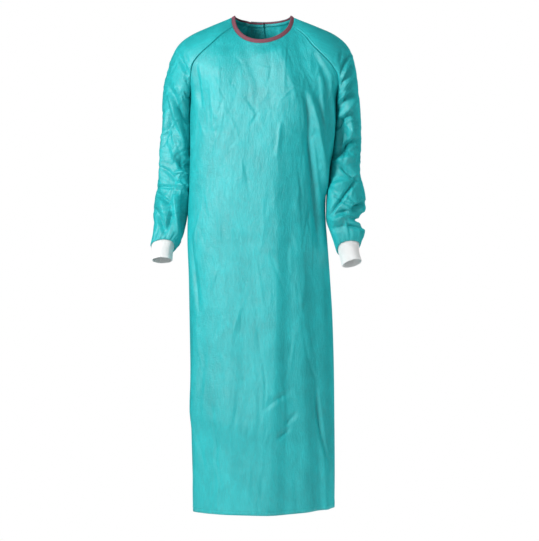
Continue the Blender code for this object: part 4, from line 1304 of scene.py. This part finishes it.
def hook_tape():
    """White tape set with rows of small hooks."""
    finish = Finish("White hook tape", WHITE, 0.6)
    n = finish.nodes
    cloth_at = finish.coordinates()
    hooks = n.add("ShaderNodeTexVoronoi", {"Scale": 900.0, "Randomness": 0.25}, {"Vector": cloth_at})
    fibres = finish.use(FIBRES, cloth_at, Fineness=1500.0)
    mask = n.spread(hooks.outputs["Distance"], 0.1, 0.6, 1.0, 0.0)
    finish.tint(n.times(fibres["Tone"], n.spread(mask, 0.0, 1.0, 0.86, 1.02)))
    finish.bump(mask, 0.0006, 0.8)
    return finish.material


# The gown's pieces

def build_front(material, seams, details):
    """The front, with the raglan seams' stitches above the armpits and the side seams' below them."""
    grid, outward = front_skin()
    cloth("front_cloth", grid, False, material, "front_panel")
    for from_last in (False, True):
        line, out = beside(grid, outward, SEAM_STITCHES_AT, from_last)
        seams.row(line[BELOW:], out[BELOW:], SEAM_SEWING, seed=41 + from_last)
        details.row(line[:BELOW], out[:BELOW], SEAM_SEWING, seed=43 + from_last)
    details.row(*hem_line(grid, outward), SEAM_SEWING, seed=45)


def build_backs(material, seams, details):
    """The two backs with their raglan and hem stitches, and the line beside the outer back's free edge."""
    outer, outer_out, under, under_out = back_panels()
    cloth("back_left_cloth", outer, False, material, "back_panel_left")
    cloth("back_right_cloth", under, True, material, "back_panel_right")
    for grid, out, seed in ((outer, outer_out, 51), (under, under_out, 52)):
        seams.row(*beside(grid[BELOW:], out[BELOW:], SEAM_STITCHES_AT), SEAM_SEWING, seed=seed)
        details.row(*hem_line(grid, out), SEAM_SEWING, seed=seed + 4)
    details.row(*beside(outer, outer_out, EDGE_STITCHES_AT, True), SEAM_SEWING, seed=53)


def build_sleeve(side, material, seams):
    """A sleeve with its raglan stitches, and the right one's short seam on the forearm."""
    grid, outward = sleeve_skin(side)
    name, node = f"sleeve_{side}_cloth", f"sleeve_{side}"
    cloth(name, grid, side == "left", material, node, joined_from=ABOVE)
    raglan, raglan_out = grid[: ABOVE + 1], outward[: ABOVE + 1]
    for from_last in (False, True):
        line, out = beside(raglan, raglan_out, SLEEVE_STITCHES_AT, from_last)
        seams.row(line, out, SEAM_SEWING, seed=ARMS[side].seed + from_last)
    if side == "right":
        seams.row(*on_forearm(grid, outward), TIE_SEWING, seed=65)


def on_forearm(grid, outward):
    """The line of the forearm's short seam on the front of the sleeve, with its normals."""
    run = np.array(FOREARM_SEAM, float)
    lengths = path_lengths(run)
    points = on_path(np.arange(0, lengths[-1], FOREARM_STEP), lengths, run)
    front = grid[:, : SLEEVE_COLUMNS // 2]
    gaps = np.linalg.norm(front[None][..., [0, 2]] - points[:, None, None], axis=-1)
    row, col = np.unravel_index(gaps.reshape(len(points), -1).argmin(axis=1), front.shape[:2])
    return front[row, col], outward[row, col]


def cuff_skin(side):
    """A cuff's outer skin, from the ring inside the sleeve's end to the open one."""
    arm = ARMS[side]
    skin = sleeve_rows(side, CUFF_COLUMNS, SLEEVE_ROWS_BELOW, ROWS_ABOVE_ARMPIT)
    outward = sleeve_normals(skin, side, ROWS_ABOVE_ARMPIT)
    lining = skin - outward * (CAD_WALL + CAD_GAP)
    inside = lining[-1] + unit(lining[-2] - lining[-1]) * CUFF_IN_SLEEVE - outward[-1] * CUFF_TAPER
    around = np.linspace(0, 2 * np.pi, CUFF_COLUMNS + 1)
    sideways, forwards = arm.turn * np.cos(around), np.sin(around)
    rings = [inside, lining[-1]]
    for ring in arm.cuff:
        lean, tilt = np.radians(ring.lean), np.radians(ring.tilt)
        rise = forwards * np.sin(lean) - sideways * np.sin(tilt)
        circle = np.stack([sideways * np.cos(tilt), -forwards * np.cos(lean), rise], axis=-1)
        rings.append(np.array([ring.x, ring.y, ring.z]) + circle * ring.radius)
    return np.array(rings)


def build_cuff(side, knit):
    """A cuff of folded rib knit: the outer layer, the roll at the open end, and the inner layer back up."""
    rings = cuff_skin(side)
    knots = np.append(0, np.cumsum(np.linalg.norm(np.diff(rings, axis=0), axis=-1).mean(axis=1)))
    at = np.linspace(0, knots[-1], CUFF_ROWS + 1)
    skin = np.stack([smooth_path(at, knots, line) for line in rings.transpose(1, 0, 2)], axis=1)
    outward = normals(skin) * ARMS[side].turn
    outward[:, 0] = outward[:, -1] = unit(outward[:, 0] + outward[:, -1])
    down = unit(skin[-1] - skin[-2])
    around = 2 * np.pi * np.linspace(0, 1, CUFF_COLUMNS + 1)
    rib = (RIB_HEIGHT * np.cos(RIBS * around))[None, :, None]
    sag = sum(height * np.cos(waves * around + start) for waves, height, start in SAG)
    soft = (sag[None, :] * ease(at / knots[-1] / SAG_START)[:, None])[..., None]
    outer = skin + outward * (rib - RIB_DEPTH + soft)
    inner = skin - outward * (CUFF_WALL - rib * INNER_RIB_SHARE - soft)
    roll = []
    for turn in np.radians(ROLL_TURNS):
        reach = outer[-1] * (1 + np.cos(turn)) / 2 + inner[-1] * (1 - np.cos(turn)) / 2
        roll.append(reach + down * np.sin(turn) * CUFF_WALL * ROLL_FULLNESS)
    section = np.concatenate([outer, np.array(roll), inner[::-1], outer[:1]])
    name = f"cuff_{side}_knit"
    mesh = grid_mesh(name, section, side == "left", joined_from=0, closed_section=True)
    obj = piece(name, mesh, knit, (f"cuff_{side}",))


# The binding's section: how far from the seam towards the rim, and how far out from the neck's surface
BindingPoint = namedtuple("BindingPoint", "along out")
BINDING_SECTION = (
    BindingPoint(-0.9, -0.2),
    BindingPoint(-0.9, 0.4),
    BindingPoint(-0.2, 0.72),
    BindingPoint(1.2, 0.86),
    BindingPoint(1.9, 0.74),
    BindingPoint(2.6, 0.9),
    BindingPoint(4.5, 1.12),
    BindingPoint(6.8, 1.18),
    BindingPoint(8.8, 0.98),
    BindingPoint(10.0, 0.55),
    BindingPoint(10.6, -0.1),
    BindingPoint(10.7, -0.8),
    BindingPoint(10.3, -1.5),
    BindingPoint(9.4, -1.9),
    BindingPoint(8.0, -2.0),
    BindingPoint(6.2, -1.95),
    BindingPoint(5.6, -1.6),
    BindingPoint(5.6, -0.6),
    BindingPoint(3.0, -0.45),
)
ALLOWANCE_SECTION = (
    BindingPoint(-2.0, -0.9),
    BindingPoint(0.0, -0.5),
    BindingPoint(4.6, -0.55),
    BindingPoint(4.6, -1.25),
    BindingPoint(0.0, -1.35),
    BindingPoint(-2.0, -1.7),
)
STITCHED_POINT = 4
BINDING_COLUMNS = 520
PUCKER_LENGTH = 5.5
PUCKER_HEIGHT = 0.22
PUCKER_SHIFT = 0.35


def neck_tape(section, pucker):
    """A closed section swept round the neck, from the under end at the back to the outer end that laps it."""
    outer_edge, under_edge = (edge[-1] for edge in back_edges())
    right = BACK_ANGLES["right"]
    span = BACK_ANGLES["left"] - right
    angles = np.linspace(right + span * under_edge, 360 + right + span * outer_edge, BINDING_COLUMNS + 1)
    seam, rim = neck_points(NECK_SEAM, angles), neck_points(NECK_RIM, angles)
    grid = np.stack([rim, seam])
    outward = normals(grid)
    outward *= np.sign(np.sum(outward * (grid - np.array(NECK_INSIDE)), axis=-1, keepdims=True))
    inset = np.where(angles < FRONT_HALF_ANGLE, lap_inset((angles - right) / span, outer_edge), 0.0)
    towards = unit(rim - seam)
    width = np.linalg.norm(rim - seam, axis=-1)
    length = arc(rim[None], 1)[0]
    widest = column(section, "along").max()
    rings = []
    for k, point in enumerate(section):
        ripple = pucker * soft_noise(length / PUCKER_LENGTH, 0 * length + k * PUCKER_SHIFT, 71)
        scale = width / widest if point.along > 0 else np.ones_like(width)
        out = outward[1] * (point.out - inset + ripple)[:, None]
        rings.append(seam + towards * (point.along * scale)[:, None] + out)
    return np.array(rings + rings[:1]), outward[1]


def capped(mesh):
    """Closes the two open ends of a swept section."""
    work = bmesh.new()
    work.from_mesh(mesh)
    bmesh.ops.holes_fill(work, edges=[e for e in work.edges if e.is_boundary])
    bmesh.ops.recalc_face_normals(work, faces=work.faces)
    work.to_mesh(mesh)
    work.free()
    return mesh


def build_binding(rose, teal, threads):
    """The rose tape folded over the neck's edge with its stitches, and the seam allowance inside it."""
    section, outward = neck_tape(BINDING_SECTION, PUCKER_HEIGHT)
    mesh = capped(grid_mesh("neck_binding_tape", section, False, closed_section=True))
    tape = piece("neck_binding_tape", mesh, rose, ("neck_binding",))
    threads.row(section[STITCHED_POINT], outward, SEAM_SEWING, seed=81, proud=0.0)
    allowance, _ = neck_tape(ALLOWANCE_SECTION, 0.0)
    mesh = capped(grid_mesh("neck_seam_allowance", allowance, False, closed_section=True))
    strip = piece("neck_seam_allowance", mesh, teal)


def build_hook_tape(material):
    """The hook tape between the two backs at the neck."""
    first, last = (round(share * ABOVE) for share in TAPE_RISE)
    across = every_row(np.linspace(*TAPE_SHARES, TAPE_COLUMNS + 1))
    skin, outward = back_skin(across, seamed=False)
    middle = skin - outward * (CAD_WALL + BACK_LAP_DEPTH + CAD_GAP) / 2
    middle = middle[BELOW + first : BELOW + last + 1]
    mesh = grid_mesh("neck_hook_tape_cloth", middle, True)
    obj = piece("neck_hook_tape_cloth", mesh, material, ("neck_hook_tape",))
    thicken(obj, TAPE_WALL, 0.0)


def build_bands(material, threads):
    """The two bands of the waist tie, drawn together where they run into the knot."""
    for side, sign, start in (("right", 1, BAND_START), ("left", -1, 1 - BAND_START)):
        shares = np.linspace(start, BAND_MEET, BAND_COLUMNS + 1)
        skin, outward = back_skin(every_row(shares), seamed=False)
        grid, out = skin[TIE_ROWS], outward[TIE_ROWS]
        u, v = arc(grid, 1), arc(grid, 0)
        to_knot = u[:, -1:] - u
        edge = np.minimum(v, v[-1:] - v)
        lift = CAD_GAP + TIE_CLOTH + BAND_CLEAR - BAND_EDGE_DEPTH * bell(edge, BAND_EDGE_WIDTH)
        lift = lift + BAND_WAVE * soft_noise(u / 14, v / 18, 91)
        gathers = soft_noise(v / 4.5, u / 45, 92 + sign) + 0.5
        lift = lift + BAND_GATHER * gathers * bell(to_knot, BAND_GATHER_LENGTH)
        grid = grid + out * lift[..., None]
        drawn = 1 - BAND_DRAW_IN * bell(to_knot, BAND_DRAW_LENGTH)
        grid[..., 2] = TIE_HEIGHT + (grid[..., 2] - TIE_HEIGHT) * drawn
        name, node, under = f"waist_tie_{side}_band", f"waist_tie_{side}", f"back_panel_{side}"
        cloth(name, grid, side == "right", material, node, TIE_CLOTH)
        for row in (1, -2):
            threads.row(grid[row], out[row], TIE_SEWING, seed=93 + row + sign)


def build_knot(material):
    """The knot: gathered cloth through a loop that wraps it. Returned are its box's middle and size."""
    low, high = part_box("waist_knot")
    middle, size = np.array((low + high) / 2) / MM, np.array(high - low) / MM
    half = size / 2
    turns, alongs = np.meshgrid(np.linspace(0, 2 * np.pi, 65), np.linspace(-1, 1, 41))
    pinch = 1 - KNOT_PINCH + KNOT_PINCH * np.abs(alongs) ** 1.3
    rounded = np.sqrt(np.clip(1 - np.abs(alongs) ** 5, 0.02, 1))
    pleats = 1 + 0.09 * np.cos(7 * turns + 1.5 * alongs) + 0.05 * np.cos(12 * turns - 2 * alongs)
    radius = pinch * rounded * pleats * KNOT_FILL
    depth, height = np.cos(turns) * radius * half[1], np.sin(turns) * radius * half[2] * KNOT_FLATTER
    bundle = np.stack([alongs * half[0], depth, height], axis=-1)
    mesh = capped(grid_mesh("waist_knot_bundle", bundle + middle, False, joined_from=0))
    piece("waist_knot_bundle", mesh, material, ("waist_knot",))

    over, side = np.meshgrid(np.linspace(0, 2 * np.pi, 73), np.linspace(0, 2 * np.pi, 29))
    crease = 0.35 * np.cos(3 * side + 0.6) + 0.25 * np.cos(5 * side + 2 * over)
    reach = 0.9 * np.sign(np.cos(side)) * np.abs(np.cos(side)) ** 0.6 + crease - LOOP_RADIUS
    along = np.sin(side) * LOOP_HALF_WIDTH + LOOP_LEAN * np.cos(over)
    loop = np.stack([along, np.cos(over) * (half[1] + reach), np.sin(over) * (half[2] + reach)], axis=-1)
    mesh = capped(grid_mesh("waist_knot_loop", loop + middle, False, joined_from=0, closed_section=True))
    piece("waist_knot_loop", mesh, material)
    return middle, size


def build_ends(material, threads, middle, size):
    """The two ends of the tie, hanging from the knot clear of the back."""
    across = every_row(np.linspace(0, 1, END_COLUMNS_MEASURED + 1))
    skin, _ = back_skin(across, seamed=False)
    near = skin[:BELOW, np.abs(across[0] - BAND_MEET) < END_REACH, 1]
    down = np.linspace(0, 1, 97)[:, None]
    share = np.linspace(-0.5, 0.5, 15)
    width = END_WIDTH * (END_NARROW + (1 - END_NARROW) * ease(down * 4))
    cup = END_CUP * (share * 2) ** 2 * np.sin(np.pi * down)
    gathers = END_GATHER * np.cos(6 * np.pi * share) * np.exp(-down * 9)
    for side, end, phase in (("left", LEFT_END, 0), ("right", RIGHT_END, 2)):
        heights = middle[2] - size[2] / 2 + END_START - (end.length + END_START) * down
        offsets = end.top_offset + (end.low_offset - end.top_offset) * ease(down)
        back = np.array([np.interp(heights[:, 0], levels(), line) for line in near.T])
        clear = back.max(axis=0) + END_CLEARANCE
        hanging = middle[1] - (middle[1] - back.max()) * down[:, 0]
        turn = np.radians(end.curl * 4) * ease(down)
        wave = END_WAVE * np.sin(2 * np.pi * down * 1.3 + phase) * ease(down * 3)
        x = middle[0] + offsets + share * width * np.cos(turn)
        y = np.maximum(clear, hanging)[:, None] + share * width * np.sin(turn) + cup + gathers + wave
        grid = np.stack([x, y, heights + 0 * x], axis=-1)[::-1]
        name, node = f"tie_end_{side}_cloth", f"tie_end_{side}"
        cloth(name, grid, True, material, node, TIE_CLOTH)
        out = -normals(grid)
        for col in (1, -2):
            threads.row(grid[:, col], out[:, col], TIE_SEWING, seed=111 + col)
        threads.row(grid[3], out[3], TIE_SEWING, seed=112)


# Stage, light and camera

# The photo: its size and the origin's place in pixels, and one pixel's width in metres
IMAGE_SIZE = (539, 541)
ORIGIN_PIXEL = (263, 15)
PIXEL = 0.0026
CAMERA_DISTANCE = 5.0
SENSOR = 36.0
FLOOR_RADIUS = 1600.0
FLOOR_HEIGHT = -1600.0
FLOOR_SIDES = 96


def build_camera():
    """A camera straight in front, set so that the gown lies where it does in the photo."""
    centre_x = (IMAGE_SIZE[0] / 2 - ORIGIN_PIXEL[0]) * PIXEL
    centre_z = (ORIGIN_PIXEL[1] - IMAGE_SIZE[1] / 2) * PIXEL
    camera = bpy.data.cameras.new("Camera")
    camera.sensor_width = SENSOR
    camera.lens = SENSOR * CAMERA_DISTANCE / (max(IMAGE_SIZE) * PIXEL)
    camera.dof.use_dof = False
    obj = bpy.data.objects.new("Camera", camera)
    bpy.context.scene.collection.objects.link(obj)
    obj.location = (centre_x, -CAMERA_DISTANCE, centre_z)
    obj.rotation_euler = (np.pi / 2, 0, 0)
    bpy.context.scene.camera = obj


# The lamps: their place, width, height and power, and whether they give the cloth its sheen
Lamp = namedtuple("Lamp", "name place width height power shines")
LAMPS = (
    Lamp("Soft box left", (-1.4, -1.75, 0.3), 0.7, 0.8, 47.0, True),
    Lamp("Soft box right", (2.2, -0.7, -0.4), 0.8, 1.4, 8.0, False),
    Lamp("Back", (2.0, 2.3, 0.6), 1.0, 1.4, 44.0, False),
)
AIM = (0.0, 0.0, -0.45)
WORLD_LIGHT = 0.40


def build_lights():
    """The lamps, and a white world that is brighter to the camera than to the gown."""
    for lamp in LAMPS:
        light = bpy.data.lights.new(lamp.name, "AREA")
        light.shape = "RECTANGLE"
        light.size, light.size_y = lamp.width, lamp.height
        light.energy = lamp.power
        obj = bpy.data.objects.new(lamp.name, light)
        bpy.context.scene.collection.objects.link(obj)
        obj.location = lamp.place
        obj.visible_glossy = lamp.shines
        obj.visible_camera = False
        obj.rotation_mode = "QUATERNION"
        obj.rotation_quaternion = (Vector(AIM) - Vector(lamp.place)).to_track_quat("-Z", "Y")
    world = bpy.data.worlds.new("Studio")
    world.use_nodes = True
    n = Nodes(world.node_tree)
    background = world.node_tree.nodes["Background"]
    background.inputs["Color"].default_value = (1, 1, 1, 1)
    seen = n.add("ShaderNodeLightPath").outputs["Is Camera Ray"]
    strength = n.spread(seen, 0.0, 1.0, WORLD_LIGHT, 1.0)
    world.node_tree.links.new(strength, background.inputs["Strength"])
    world.cycles_visibility.glossy = False
    bpy.context.scene.world = world
    bpy.context.scene.view_settings.view_transform = "Standard"


def build_floor():
    """A plain pale round floor, well below the hem."""
    turn = np.linspace(0, 2 * np.pi, FLOOR_SIDES + 1)[:-1]
    height = np.full(FLOOR_SIDES, FLOOR_HEIGHT)
    points = np.stack([FLOOR_RADIUS * np.cos(turn), FLOOR_RADIUS * np.sin(turn), height], axis=-1)
    mesh = mesh_of("Floor", points, [tuple(range(FLOOR_SIDES))])
    floor = bpy.data.objects.new("Floor", mesh)
    bpy.context.scene.collection.objects.link(floor)
    finish = Finish("Pale floor", (0.82, 0.82, 0.82), 0.8)
    out = finish.use(FIBRES, finish.coordinates("Object"), Fineness=40.0, Contrast=0.1)
    finish.tint(out["Tone"])
    mesh.materials.append(finish.material)


def main():
    build_camera()
    panel = teal_cloth("Teal nonwoven", blotches=1.25)
    tie = teal_cloth("Teal nonwoven tie", crinkles=0.5)
    knit = white_knit()
    seams, details, on_binding, on_tie = Threads(), Threads(), Threads(), Threads()
    build_front(panel, seams, details)
    build_backs(panel, seams, details)
    for side in ("right", "left"):
        build_sleeve(side, panel, seams)
        build_cuff(side, knit)
    build_binding(rose_tape(), panel, on_binding)
    build_hook_tape(hook_tape())
    build_bands(tie, on_tie)
    middle, size = build_knot(tie)
    build_ends(tie, on_tie, middle, size)
    dark = sewing_thread("Dark teal thread", (0.006, 0.30, 0.33))
    pale = sewing_thread("Teal thread", (0.02, 0.36, 0.39))
    maroon = sewing_thread("Maroon thread", (0.09, 0.015, 0.03))
    for name, threads, material, slot in (
        ("raglan_stitches", seams, dark, "teal_nonwoven"),
        ("hem_and_side_stitches", details, pale, "teal_nonwoven"),
        ("binding_stitches", on_binding, maroon, "rose_binding"),
        ("tie_stitches", on_tie, pale, "teal_nonwoven"),
    ):
        piece(name, threads.mesh(name), material)
    build_floor()
    build_lights()


main()
